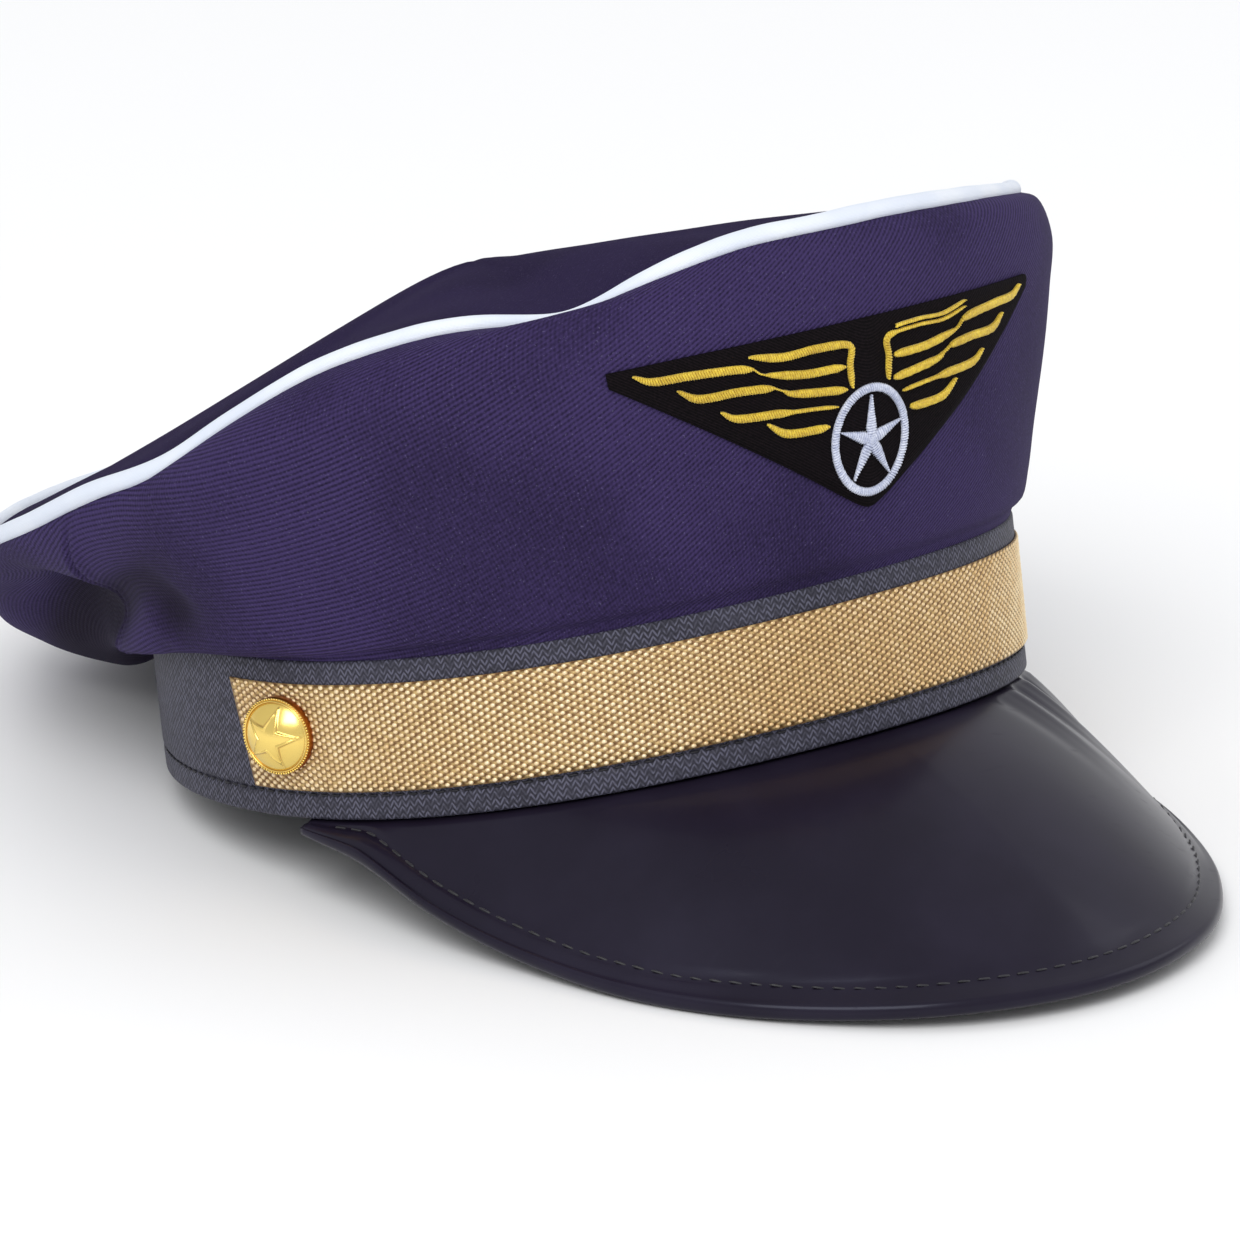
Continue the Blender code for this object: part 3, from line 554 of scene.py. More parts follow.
class Nodes:
    """A node tree that is filled by short calls."""

    def __init__(self, tree):
        self.tree = tree

    def node(self, kind, settings=None, inputs=None, output=0):
        """Add a node: its settings first, then the values or links of its sockets."""
        node = self.tree.nodes.new(kind)
        for key, value in (settings or {}).items():
            setattr(node, key, value)
        for key, value in (inputs or {}).items():
            if isinstance(value, Value):
                self.tree.links.new(value.socket, node.inputs[key])
            else:
                node.inputs[key].default_value = value
        return Value(self, node.outputs[output])

    def vector(self, x, y, z=0.0):
        """A vector from its parts."""
        return self.node("ShaderNodeCombineXYZ", inputs={0: x, 1: y, 2: z})

    def parts(self, vector):
        """The three parts of a vector."""
        first = self.node("ShaderNodeSeparateXYZ", inputs={0: vector})
        return [Value(self, socket) for socket in first.socket.node.outputs]


class Finish(Nodes):
    """A material whose node tree is filled by short expressions."""

    def __init__(self, name, **constants):
        self.material = bpy.data.materials.new(name)
        self.material.use_nodes = True
        super().__init__(self.material.node_tree)
        self.shader = self.tree.nodes["Principled BSDF"]
        for socket, value in constants.items():
            self.shader.inputs[socket.replace("_", " ")].default_value = value

    def cloth_map(self):
        """The piece's own UV map in metres: (along, up)."""
        return self.parts(self.node("ShaderNodeUVMap", {"uv_map": "cloth"}))[:2]

    def kept(self, name):
        """A number kept at the points of the piece."""
        return self.node("ShaderNodeAttribute", {"attribute_name": name}, output="Fac")

    def place(self):
        """Object coordinates."""
        return self.node("ShaderNodeTexCoord", output="Object")

    def noise(self, scale, detail=3.0, vector=None):
        """Cloudy noise, 0 to 1."""
        return self.node("ShaderNodeTexNoise", inputs={
            "Vector": vector or self.place(), "Scale": scale, "Detail": detail, "Roughness": 0.5})

    def blend(self, factor, first, second):
        """Mix two colours."""
        first, second = [c if isinstance(c, Value) else (*c, 1.0) for c in (first, second)]
        return self.node("ShaderNodeMix", {"data_type": "RGBA"},
                         {0: factor, 6: first, 7: second}, output=2)

    def bump(self, height, distance, strength=1.0, under=None):
        """Turn a height into a bent normal."""
        inputs = {"Height": height, "Distance": distance, "Strength": strength}
        if under:
            inputs["Normal"] = under
        return self.node("ShaderNodeBump", inputs=inputs)

    def feed(self, **links):
        """Link values to the shader."""
        for socket, value in links.items():
            self.tree.links.new(value.socket, self.shader.inputs[socket.replace("_", " ")])
        return self.material

def twill_finish(name, settings, painted_shade_scale=1.0, gloss=1.0):
    """Navy twill: fine diagonal ribs, uneven yarn, a few pale fibres; painted shade in the wall's folds
    and hollow, and painted shade that dims the top's copy.
    """
    finish = Finish(name, Roughness=0.85, Sheen_Weight=0.04 * gloss, Sheen_Roughness=0.5,
                    Sheen_Tint=(0.5, 0.42, 0.9, 1.0), Specular_IOR_Level=0.12 * gloss)
    along, up = finish.cloth_map()
    wander = (finish.noise(90.0, 2.0) - 0.5) * 0.35
    ribs = (up / settings.rib + wander).ridges(1.0)
    yarn = finish.noise(1.0, 2.0, finish.vector(along * 700.0, up * 2600.0))
    picks = along.ridges(settings.rib * 0.8)
    clouds = finish.noise(28.0, 4.0)
    grain = finish.noise(1300.0, 2.0)
    clear = finish.noise(16.0, 2.0).above(0.40, 0.62)
    lint = finish.noise(2300.0, 1.0).above(0.66, 0.78)
    light = ribs * (clear * 0.42 + 0.14) + grain * 0.42 + yarn * 0.34 + picks * 0.12 + clouds * 0.24
    # Painted shade: the lit colour is scaled down for the top panel's darker copy of the twill.
    pale = [painted_shade_scale * part for part in settings.colour]
    colour = finish.blend(light.above(0.30, 1.05), settings.shade, pale)
    colour = finish.blend(lint * 0.30, colour, (0.20, 0.18, 0.32))
    # Painted shade: the wall's twill turns near-black in its deep folds and in the hollow of its
    # sagging back.
    colour = finish.blend(finish.kept("tuck") * 0.90, colour, (0.005, 0.003, 0.006))
    relief = ribs * (clear * 0.7 + 0.2) + grain * 0.5 + yarn * 0.4 + picks * 0.2
    return finish.feed(Base_Color=colour, Normal=finish.bump(relief, 0.20 * MM, 0.9),
                       Roughness=yarn * 0.12 + 0.78)


def piping_finish(settings):
    """White cord cloth with a fine slanting weave."""
    finish = Finish("piping_cloth", Roughness=0.6, Sheen_Weight=0.15)
    along, up = finish.cloth_map()
    pitch = 0.55 * MM
    weave = (along + up).wave(pitch) * (along - up).wave(pitch)
    clouds = finish.noise(60.0, 3.0)
    shade = (weave * 0.18 + clouds * 0.75).above(0.1, 0.8)
    colour = finish.blend(shade, settings.shade, settings.colour)
    normal = finish.bump(weave * 0.5 + finish.noise(900.0, 2.0) * 0.5, 0.08 * MM, 0.7)
    return finish.feed(Base_Color=colour, Normal=normal)


def band_finish(settings):
    """Charcoal band cloth with a small pressed zigzag."""
    finish = Finish("band_embossed_cloth", Roughness=0.6, Specular_IOR_Level=0.3)
    along, up = finish.cloth_map()
    step = settings.emboss
    zigzag = ((along / step).calc("FRACT") - 0.5).size() * 2.0
    rows = (up / (step * 0.75) + zigzag).ridges(1.0)
    cells = along.wave(step).size()
    pressed = (rows * 0.75 + cells * 0.25).above(0.35, 0.80)
    grain = finish.noise(1500.0, 2.0)
    clouds = finish.noise(35.0, 3.0)
    broken = finish.noise(620.0, 1.0).above(0.38, 0.60)
    light = pressed * (broken * 0.50 + 0.16) + grain * 0.40 + clouds * 0.30
    colour = finish.blend(light.above(0.15, 1.05), settings.shade, settings.colour)
    normal = finish.bump(pressed * (broken * 0.6 + 0.3) + grain * 0.4, 0.14 * MM, 0.9)
    return finish.feed(Base_Color=colour, Normal=normal, Roughness=0.72 - pressed * 0.22)


def ribbon_finish(settings):
    """Ground weave of the gold ribbon, seen between its beads."""
    finish = Finish("ribbon_ground", Roughness=0.5, Metallic=0.4)
    along, up = finish.cloth_map()
    weave = along.wave(settings.pitch) * up.wave(2 * settings.row)
    light = (weave * 0.35 + finish.noise(700.0, 2.0) * 0.7).above(0.1, 0.8)
    colour = finish.blend(light, settings.shade, (0.60, 0.42, 0.18))
    return finish.feed(Base_Color=colour, Normal=finish.bump(weave, 0.15 * MM, 0.8))


def bead_finish(settings):
    """Gilt yarn of the ribbon's beads, a little uneven from bead to bead, with painted shade darkening
    the beads at the front of the band.
    """
    finish = Finish("gilt_beads", Metallic=0.5, Roughness=0.33)
    uneven = finish.noise(260.0, 2.0)
    clouds = finish.noise(22.0, 3.0)
    # Painted shade: beads towards the front of the band lean to the darker, more orange gilt.
    front = (finish.parts(finish.place())[1] * -1.0).above(0.062, 0.110)
    tone = (uneven * 0.6 + clouds * 0.5 - front * 0.35).above(0.3, 0.8)
    colour = finish.blend(tone, settings.deep, settings.colour)
    return finish.feed(Base_Color=colour, Roughness=uneven * 0.22 + 0.26,
                       Normal=finish.bump(finish.noise(2600.0, 2.0), 0.05 * MM, 0.5))


def button_finish(settings):
    """Polished gold of the dome buttons, tarnished a little where the dome meets its lip, with painted
    shade beside the star's ridges and painted shadow on its outer rim and skirt.
    """
    finish = Finish("polished_gold", Metallic=1.0, Roughness=0.14)
    depth = finish.kept("groove")
    film = finish.noise(180.0, 4.0)
    # Tarnish at the dome's edge, painted shade beside the star's ridges and painted shadow on the outer
    # rim and skirt.
    colour = finish.blend(depth.above(0.05, 0.9), settings.colour, settings.tarnish_and_shade_colour)
    colour = finish.blend(film.above(0.45, 0.9) * 0.25, colour, (0.72, 0.42, 0.06))
    return finish.feed(Base_Color=colour, Roughness=film * 0.12 + depth * 0.15 + 0.17,
                       Normal=finish.bump(finish.noise(420.0, 3.0), 0.03 * MM, 0.35))


def vinyl_finish(settings):
    """Glossy black vinyl with a soft waviness and faint handling marks."""
    finish = Finish("black_vinyl_gloss", Roughness=0.3, Specular_IOR_Level=0.20, Coat_Weight=0.07,
                    Coat_Roughness=0.10, Specular_Tint=(0.72, 0.78, 1.0, 1.0))
    haze = finish.noise(30.0, 4.0)
    marks = finish.noise(1.0, 3.0, finish.node("ShaderNodeMapping", inputs={
        "Vector": finish.place(), "Scale": (60.0, 420.0, 260.0), "Rotation": (0.3, 0.2, 0.7)}))
    colour = finish.blend(haze.above(0.3, 0.8), settings.colour, settings.haze_colour)
    rough = haze * 0.10 + marks.above(0.62, 0.8) * 0.10 + 0.24
    skin = finish.bump(finish.noise(2200.0, 2.0), 0.02 * MM, 0.25)
    return finish.feed(Base_Color=colour, Roughness=rough,
                       Normal=finish.bump(finish.noise(24.0, 2.0), 0.8 * MM, 0.30, skin))


def thread_finish(name, colour, deep=None, roughness=0.38, sheen=0.2):
    """Embroidery or sewing thread with a soft lustre."""
    deep = deep or [c * 0.4 for c in colour]
    finish = Finish(name, Roughness=roughness, Sheen_Weight=sheen)
    strand = finish.noise(1400.0, 2.0)
    tone = (strand * 0.7 + finish.noise(160.0, 2.0) * 0.4).above(0.3, 0.85)
    mixed = finish.blend(tone, deep, colour)
    return finish.feed(Base_Color=mixed, Normal=finish.bump(strand, 0.06 * MM, 0.6))


def patch_finish(settings):
    """Black felted patch cloth."""
    finish = Finish("patch_felt", Roughness=0.95, Specular_IOR_Level=0.1)
    rows = finish.cloth_map()[1].ridges(0.7 * MM)
    fuzz = finish.noise(1800.0, 3.0)
    tone = (fuzz * 0.7 + rows * 0.3).above(0.25, 0.95)
    colour = finish.blend(tone, (0.002, 0.0015, 0.002), settings.patch)
    return finish.feed(Base_Color=colour, Normal=finish.bump(rows * 0.6 + fuzz, 0.2 * MM, 0.8))


def floor_finish(settings):
    """Matt pale floor with barely any tone of its own."""
    finish = Finish("pale_floor", Roughness=0.75, Specular_IOR_Level=0.1)
    lighter = [min(1.0, c * 1.02) for c in settings.floor]
    return finish.feed(Base_Color=finish.blend(finish.noise(3.0, 3.0), settings.floor, lighter))


class Tree(Nodes):
    """A Geometry Nodes tree with named inputs that sets small parts on points."""

    def __init__(self, name, **inputs):
        super().__init__(bpy.data.node_groups.new(name, "GeometryNodeTree"))
        face = self.tree.interface
        face.new_socket("Geometry", in_out="INPUT", socket_type="NodeSocketGeometry")
        self.keys = {}
        for label, kind in inputs.items():
            socket = face.new_socket(label, in_out="INPUT", socket_type="NodeSocket" + kind)
            self.keys[label] = socket.identifier
        face.new_socket("Geometry", in_out="OUTPUT", socket_type="NodeSocketGeometry")
        self.start = self.tree.nodes.new("NodeGroupInput")

    def given(self, label):
        """The group's own input of that name."""
        return Value(self, self.start.outputs[label])

    def named(self, name, kind):
        """Values that the geometry carries under a name."""
        return self.node("GeometryNodeInputNamedAttribute", {"data_type": kind}, {"Name": name})

    def sampled(self, value, chart, spot):
        """A value of the carrier mesh at a spot of its chart."""
        return self.node("GeometryNodeSampleUVSurface", {"data_type": "FLOAT_VECTOR"}, {
            "Mesh": self.given("Geometry"), "Value": value, "Source UV Map": chart,
            "Sample UV": spot})

    def turned(self, up, ahead):
        """Rotation that stands a part on an up direction and looks ahead."""
        return self.node("FunctionNodeAxesToRotation", {"primary_axis": "Z", "secondary_axis": "X"},
                         {0: up, 1: ahead})

    def finish(self, points, part, turn, size):
        """Set an uneven part on every point, then realize, smooth and paint the parts."""
        uneven = self.given("Uneven")
        chance = self.node("FunctionNodeRandomValue", {"data_type": "FLOAT"},
                           {2: 1.0 - uneven, 3: uneven + 1.0, "Seed": self.given("Seed")}, output=1)
        placed = self.node("GeometryNodeInstanceOnPoints", inputs={
            "Points": points, "Instance": part, "Rotation": turn,
            "Scale": size.move("MULTIPLY", chance)})
        real = self.node("GeometryNodeRealizeInstances", inputs={0: placed})
        soft = self.node("GeometryNodeSetShadeSmooth", inputs={"Geometry": real})
        painted = self.node("GeometryNodeSetMaterial", inputs={
            "Geometry": soft, "Material": self.given("Finish")})
        end = self.tree.nodes.new("NodeGroupOutput")
        self.tree.links.new(painted.socket, end.inputs[0])
        return self

    def grow(self, carrier, name, **values):
        """Run the tree on a carrier mesh and return the result as a plain piece."""
        modifier = carrier.modifiers.new("grow", "NODES")
        modifier.node_group = self.tree
        for label, value in values.items():
            modifier[self.keys[label]] = value
        bpy.context.view_layer.update()
        graph = bpy.context.evaluated_depsgraph_get()
        mesh = bpy.data.meshes.new_from_object(carrier.evaluated_get(graph))
        mesh.name = name
        bpy.data.objects.remove(carrier, do_unlink=True)
        return add_object(name, mesh)


@cache
def row_tree():
    """Repeats a small part along a path, standing on the path's own up direction."""
    tree = Tree("row_along_path", Pitch="Float", Slant="Float", Size="Vector", Uneven="Float",
                Seed="Int", Part="Object", Finish="Material")
    curve = tree.node("GeometryNodeMeshToCurve", inputs={"Mesh": tree.given("Geometry")})
    points = tree.node("GeometryNodeResampleCurve", {"mode": "LENGTH"},
                       {"Curve": curve, "Length": tree.given("Pitch")})
    turn = tree.turned(tree.named("up", "FLOAT_VECTOR"), tree.node("GeometryNodeInputTangent"))
    lean = tree.node("FunctionNodeAxisAngleToRotation",
                     inputs={"Axis": (0.0, 0.0, 1.0), "Angle": tree.given("Slant")})
    turn = tree.node("FunctionNodeRotateRotation", {"rotation_space": "LOCAL"},
                     {"Rotation": turn, "Rotate By": lean})
    stretch = tree.vector(1.0, tree.named("wide", "FLOAT"), 1.0)
    part = tree.node("GeometryNodeObjectInfo", inputs={"Object": tree.given("Part")},
                     output="Geometry")
    return tree.finish(points, part, turn, tree.given("Size").move("MULTIPLY", stretch))


@cache
def bead_tree():
    """Sets staggered rows of beads over a strip, by the strip's own UV map in metres."""
    tree = Tree("beads_on_strip", Length="Float", Width="Float", Pitch="Float", Row="Float",
                Size="Vector", Uneven="Float", Seed="Int", Finish="Material")
    length, width, pitch, row = (tree.given(name) for name in ("Length", "Width", "Pitch", "Row"))
    many = (length / pitch).calc("FLOOR")
    rows = (width / row).calc("FLOOR")
    height = (rows - 1.0) * row
    grid = tree.node("GeometryNodeMeshGrid", inputs={
        "Size X": (many - 1.0) * pitch, "Size Y": height, "Vertices X": many, "Vertices Y": rows})
    place = tree.node("GeometryNodeInputPosition")
    x, y, _ = tree.parts(place)
    level = ((y + height * 0.5) / row).calc("ROUND")
    shift = (level.calc("MODULO", 2.0) - 0.5) * (pitch * 0.5)
    spot = tree.vector(x + shift + length * 0.5, y + width * 0.5)
    chart = tree.named("cloth", "FLOAT_VECTOR")
    here = tree.sampled(place, chart, spot)
    near = tree.sampled(place, chart, spot.move("ADD", (0.2 * MM, 0.0, 0.0)))
    up = tree.sampled(tree.node("GeometryNodeInputNormal"), chart, spot)
    turn = tree.turned(up, near.move("SUBTRACT", here))
    kept = tree.node("GeometryNodeStoreNamedAttribute", {"data_type": "QUATERNION"}, {
        "Geometry": grid, "Name": "turn", "Value": turn})
    moved = tree.node("GeometryNodeSetPosition", inputs={"Geometry": kept, "Position": here})
    bead = tree.node("GeometryNodeMeshUVSphere", inputs={"Segments": 8, "Rings": 4, "Radius": 0.5})
    return tree.finish(moved, bead, tree.named("turn", "QUATERNION"), tree.given("Size"))


def add_path(points, ups, wides, closed=False):
    """Add a line of points in the cap's own frame that carries the row tree's up and width."""
    mesh = bpy.data.meshes.new("path")
    count = len(points)
    edges = [(i, (i + 1) % count) for i in range(count if closed else count - 1)]
    mesh.from_pydata(at_rest(points).tolist(), edges, [])
    store(mesh, "up", turned_to_rest(ups), "FLOAT_VECTOR")
    store(mesh, "wide", np.broadcast_to(wides, (count,)))
    return add_object("path", mesh)


def strand(name, arch, bend, sides=6, spans=6):
    """A small thread of unit size along Y: it rises by arch in its middle and has round ends."""
    verts = [(0.0, -0.5, 0.0)]
    for i in range(1, spans):
        y = -0.5 + i / spans
        rise = arch * (1 - (2 * y) ** 2) ** bend
        fat = 0.5 * (1 - abs(2 * y) ** 4) ** 0.5
        for k in range(sides):
            a = 2 * math.pi * k / sides
            verts.append((fat * math.cos(a), y, rise + fat * math.sin(a)))
    verts.append((0.0, 0.5, 0.0))
    faces = [(0, 1 + (k + 1) % sides, 1 + k) for k in range(sides)]
    for i in range(spans - 2):
        for k in range(sides):
            a, b = 1 + i * sides + k, 1 + i * sides + (k + 1) % sides
            faces.append((a, b, b + sides, a + sides))
    last = len(verts) - 1
    faces += [(last, last - sides + k, last - sides + (k + 1) % sides) for k in range(sides)]
    mesh = bpy.data.meshes.new(name)
    mesh.from_pydata(verts, [], faces)
    face_outward(mesh)
    return bpy.data.objects.new(name, mesh)


def sew(name, path, finish, shape, pitch, size, slant=math.pi / 2, uneven=0.06, seed=3):
    """Lay a row of small threads of a given shape along a path."""
    part = strand(*shape)
    row = row_tree().grow(path, name, Pitch=pitch, Slant=slant, Size=size, Uneven=uneven,
                          Seed=seed, Part=part, Finish=finish)
    bpy.data.objects.remove(part)
    return row


def join(name, pieces, finish):
    """Make one piece of several."""
    shell = bmesh.new()
    for piece in pieces:
        shell.from_mesh(piece.data)
        bpy.data.objects.remove(piece, do_unlink=True)
    for face in shell.faces:
        face.material_index = 0
    mesh = bpy.data.meshes.new(name)
    shell.to_mesh(mesh)
    shell.free()
    mesh.materials.append(finish)
    return add_object(name, mesh)


def wall_grid(settings):
    """Outer face of the crown's wall: angles, grid of points, and their normals."""
    columns, rows = WALL_GRID
    angles = full_turn(columns)
    base = band_points(angles, height=BAND_HEIGHT)
    seam = seam_points(angles)
    shares = smooth_round(WALL_SECTIONS, [np.array(row[1:]) for row in WALL_SECTIONS], angles)
    grid = np.zeros((columns, rows, 3))
    up = np.array([0.0, 0.0, 1.0])
    for j, out in enumerate(outward(angles)):
        across = (seam[j] - base[j]) * (1.0, 1.0, 0.0)
        points = [base[j] - out * 0.5 * MM - up * 0.4 * MM, base[j] + out * 0.4 * MM + up * 1.8 * MM]
        points += [base[j] + across * a + up * u * CROWN_RISE for a, u in shares[j]]
        points = np.array(points + [seam[j]])
        knots = lengths_along(points)
        end = knots[-1] - settings.piping_radius * 0.85
        grid[j] = smooth(knots, points, np.linspace(0.0, end, rows))
    ups = np.linspace(0.0, 1.0, rows)
    held = np.sin(np.pi * ups) ** 0.6
    depth = fold_depths(WALL_FOLDS, angles, ups) * settings.fold_depth
    uneven = ripple(grid, 46 * MM, 5) * 0.55 * MM + ripple(grid, 21 * MM, 9) * 0.22 * MM
    away = np.abs(past_quarter(angles, ups)) * math.radians(1) * QUARTER_REACH
    groove = QUARTER_GROOVE * bell(away, 0.8 * MM) - QUARTER_SWELL * bell(away - 2.2 * MM, 1.4 * MM)
    shift = (depth - uneven) * held + groove * np.clip(held * 1.4, 0, 1)
    grid = grid - grid_normals(grid, True) * shift[..., None]
    return angles, grid, grid_normals(grid, True)


def past_quarter(angles, ups):
    """Degrees by which points of the wall lie behind its quarter seams."""
    return np.abs(angles)[:, None] - QUARTER_FOOT - (QUARTER_HEAD - QUARTER_FOOT) * ups


def painted_shade_amounts(angles, ups):
    """Painted shade on the wall, from 0 to 1: deep in its first folds and in the hollow of its sagging
    back.
    """
    folds = fold_depths(WALL_FOLDS[:3], angles, ups) / PAINTED_SHADE_DEPTH
    behind = np.clip(past_quarter(angles, ups) / PAINTED_SHADE_EDGE, 0, 1)
    fade = bell(np.maximum(np.abs(angles)[:, None] - PAINTED_SHADE_END, 0), PAINTED_SHADE_FADE)
    hollow = behind * np.exp(-((ups - PAINTED_SHADE_MIDDLE) / PAINTED_SHADE_SPREAD) ** 4) * fade
    return np.clip(folds, 0, 0.8) * (1 - hollow) + hollow


def rib_chart(angles, grid):
    """Chart whose second number grows across the twill's ribs, which turn as they run round."""
    wrapped = np.concatenate([grid, grid[:1]], axis=0)
    along = lengths_along(wrapped[None, :, grid.shape[1] // 2])[0]
    up = lengths_along(wrapped)
    turn = np.abs(np.append(angles, 180.0) - 8)
    slope = np.tan(np.radians(np.interp(turn, (0, 25, 45, 70, 90, 180), (38, 34, 22, 6, 0, 0))))
    lean = np.concatenate([[0.0], np.cumsum(slope[1:] * np.diff(along))])
    return np.stack([along[:, None] + 0 * up, up - lean[:, None]], -1)


class Front:
    """Reads the crown's front face by distance round it and height over the band."""

    def __init__(self, angles, grid):
        near = np.abs(angles) < FRONT_SPAN
        levels = FRONT_LEVELS + band_points(0.0, height=BAND_HEIGHT)[0, 2]
        sheet = []
        for column in grid[near]:
            rising = column[int(np.argmin(column[:12, 2])):]
            rising = rising[np.append(True, np.diff(rising[:, 2]) > 1e-6)]
            sheet.append([np.interp(levels, rising[:, 2], rising[:, k]) for k in range(3)])
        self.sheet = np.array(sheet).transpose(0, 2, 1)
        self.normals = grid_normals(self.sheet, False)
        middle = np.argmin(np.abs(FRONT_LEVELS - (PATCH_RISE + PATCH_HEIGHT / 2)))
        run = lengths_along(self.sheet[None, :, middle])[0]
        self.run = run - np.interp(0.0, angles[near], run)

    def read(self, field, along, up):
        """Read a field of the sheet between its points."""
        i = np.interp(along + BADGE_SHIFT, self.run, np.arange(len(self.run)))
        j = np.interp(up, FRONT_LEVELS, np.arange(len(FRONT_LEVELS)))
        i0 = np.clip(i.astype(int), 0, len(self.run) - 2)
        j0 = np.clip(j.astype(int), 0, len(FRONT_LEVELS) - 2)
        a, b = (i - i0)[..., None], (j - j0)[..., None]
        low = field[i0, j0] * (1 - a) + field[i0 + 1, j0] * a
        high = field[i0, j0 + 1] * (1 - a) + field[i0 + 1, j0 + 1] * a
        return low * (1 - b) + high * b

    def lifted(self, along, up, lift):
        """Points that stand off the cloth."""
        along, up, lift = np.broadcast_arrays(along, up, lift)
        return self.read(self.sheet, along, up) + self.normal(along, up) * lift[..., None]

    def normal(self, along, up):
        """Directions straight off the cloth."""
        return unit(self.read(self.normals, along, up))


def shell_rings(outer, normals, thickness):
    """Closed sections of a sheet with a wall on its inner side and rounded ends."""
    inner = outer - normals * thickness
    middle = (outer[:, [0, -1]] + inner[:, [0, -1]]) / 2
    ends = middle + unit(outer[:, [0, -1]] - outer[:, [1, -2]]) * thickness * 0.35
    return np.concatenate([outer, ends[:, 1:], inner[:, ::-1], ends[:, :1]], axis=1)


def top_grid(settings):
    """Outer face of the crown's top: (columns, rows, xyz) from near its middle to the seam."""
    columns, rows = TOP_GRID
    angles = full_turn(columns)
    seam = seam_points(angles)
    ends = seam_points([0.0, 180.0])
    centre = np.array([0.0, ends[:, 1].mean(), BAND_HEIGHT + TOP_CENTRE_RISE])
    reach = np.linalg.norm((seam - centre)[:, :2], axis=1)
    last = 1.0 - settings.piping_radius * 0.85 / reach
    shares = np.linspace(0.0, 1.0, rows + 1)[1:] * last[:, None]
    soft = np.hypot(shares, TOP_SOFTNESS) - TOP_SOFTNESS
    soft /= math.hypot(1, TOP_SOFTNESS) - TOP_SOFTNESS
    turn = np.radians(angles)[:, None]
    drape = soft ** (TOP_DRAPE_ENDS + (TOP_DRAPE_SIDES - TOP_DRAPE_ENDS) * np.sin(turn) ** 2)
    grid = centre + (seam - centre)[:, None] * shares[..., None]
    grid[..., 2] = centre[2] + (seam[:, 2] - centre[2])[:, None] * drape
    fade = np.sin(np.pi * shares) ** 0.7
    grid[..., 2] += fade * (ripple(grid, 62 * MM, 21) * 1.1 * MM + ripple(grid, 27 * MM, 22) * 0.3 * MM)
    return centre, grid


def peak_edges(shares):
    """Angles, reach out and reach down of the peak at shares of the way to its corners."""
    knots = [-PEAK_SECTIONS[1].angle] + [row.angle for row in PEAK_SECTIONS]
    values = [PEAK_SECTIONS[1][1:]] + [row[1:] for row in PEAK_SECTIONS]
    table = smooth(knots, values, np.abs(shares))
    angles = shares * PEAK_END
    dip = PEAK_DIP.depth * bell(angles - PEAK_DIP.angle, PEAK_DIP.spread)
    return angles, table[:, 0] * PEAK_PROJECTION, (table[:, 1] + dip) * PEAK_DROP


def star_edge(turn, tip, waist):
    """Distance from a star's centre to its edge in one direction, for a tip at turn 0."""
    sector = math.pi / STAR_POINTS
    folded = np.abs((turn + sector) % (2 * sector) - sector)
    a = np.array([tip, 0.0])
    b = np.array([waist * math.cos(sector), waist * math.sin(sector)])
    edge = b - a
    cross = edge[0] * np.sin(folded) - edge[1] * np.cos(folded)
    return (edge[0] * a[1] - edge[1] * a[0]) / cross


def button_direction(angle):
    """Where a button looks: out of the band, turned a little to the front."""
    return unit(outward(angle)[0] + (0.0, -BUTTON_TURN, 0.0))


def on_button(angle, reach, turn, rise):
    """Points of a button by their distance from its axis, their turn and their rise."""
    out = button_direction(angle)
    up = np.array([0.0, 0.0, 1.0])
    seat = band_points(angle, -BUTTON_SEAT, RIBBON_RISE + RIBBON_WIDTH / 2 + BUTTON_LIFT)[0]
    reach, turn, rise = (v[..., None] for v in np.broadcast_arrays(reach, turn, rise))
    return (seat + np.cross(up, out) * (reach * np.sin(turn)) + up * (reach * np.cos(turn))
            + out * rise)


def metres(name, default, text):
    """A size in metres for a property group."""
    return FloatProperty(name=name, description=text, default=default, min=0.0, unit="LENGTH",
                         subtype="DISTANCE", precision=5)


def amount(name, default, text, top, low=0.0, **more):
    """A plain number between low and top for a property group."""
    return FloatProperty(name=name, description=text, default=default, min=low, max=top, **more)


def paint(name, default, text):
    """A colour for a property group."""
    return FloatVectorProperty(name=name, description=text, default=default, min=0.0, max=1.0,
                               subtype="COLOR", size=3)


class CapCrown(PropertyGroup):
    """Cloth of the crown."""
    cloth: metres("Cloth", 1.4 * MM, "Thickness of the crown's cloth")
    rib: metres("Rib", 1.10 * MM, "Distance between two ribs of the twill")
    piping_radius: metres("Piping radius", 2.0 * MM, "Radius of the cord in the seam")
    fold_depth: amount("Fold depth", 1.0, "How deep the soft folds are", 2.0, subtype="FACTOR")
    colour: paint("Twill", (0.047, 0.031, 0.108), "Lit ribs of the twill")
    shade: paint("Twill shade", (0.010, 0.006, 0.023), "Furrows of the twill")


class CapPiping(PropertyGroup):
    """Cord in the crown's seam."""
    colour: paint("Cord", (0.90, 0.93, 0.97), "Cloth of the piping")
    shade: paint("Cord shade", (0.70, 0.76, 0.88), "Hollows of the piping's cloth")


class CapBand(PropertyGroup):
    """Band and the thread along its lower edge."""
    emboss: metres("Emboss", 1.9 * MM, "Size of the pressed zigzag")
    stitch: metres("Stitch", 3.2 * MM, "Distance between two stitches")
    seam_rise: metres("Seam rise", 5.3 * MM, "Height of the stitched line over the lower rim")
    colour: paint("Band", (0.100, 0.099, 0.142), "Raised part of the band's cloth")
    shade: paint("Band shade", (0.016, 0.015, 0.024), "Pressed part of the band's cloth")
    thread: paint("Thread", (0.012, 0.011, 0.018), "Thread of the lower seam")


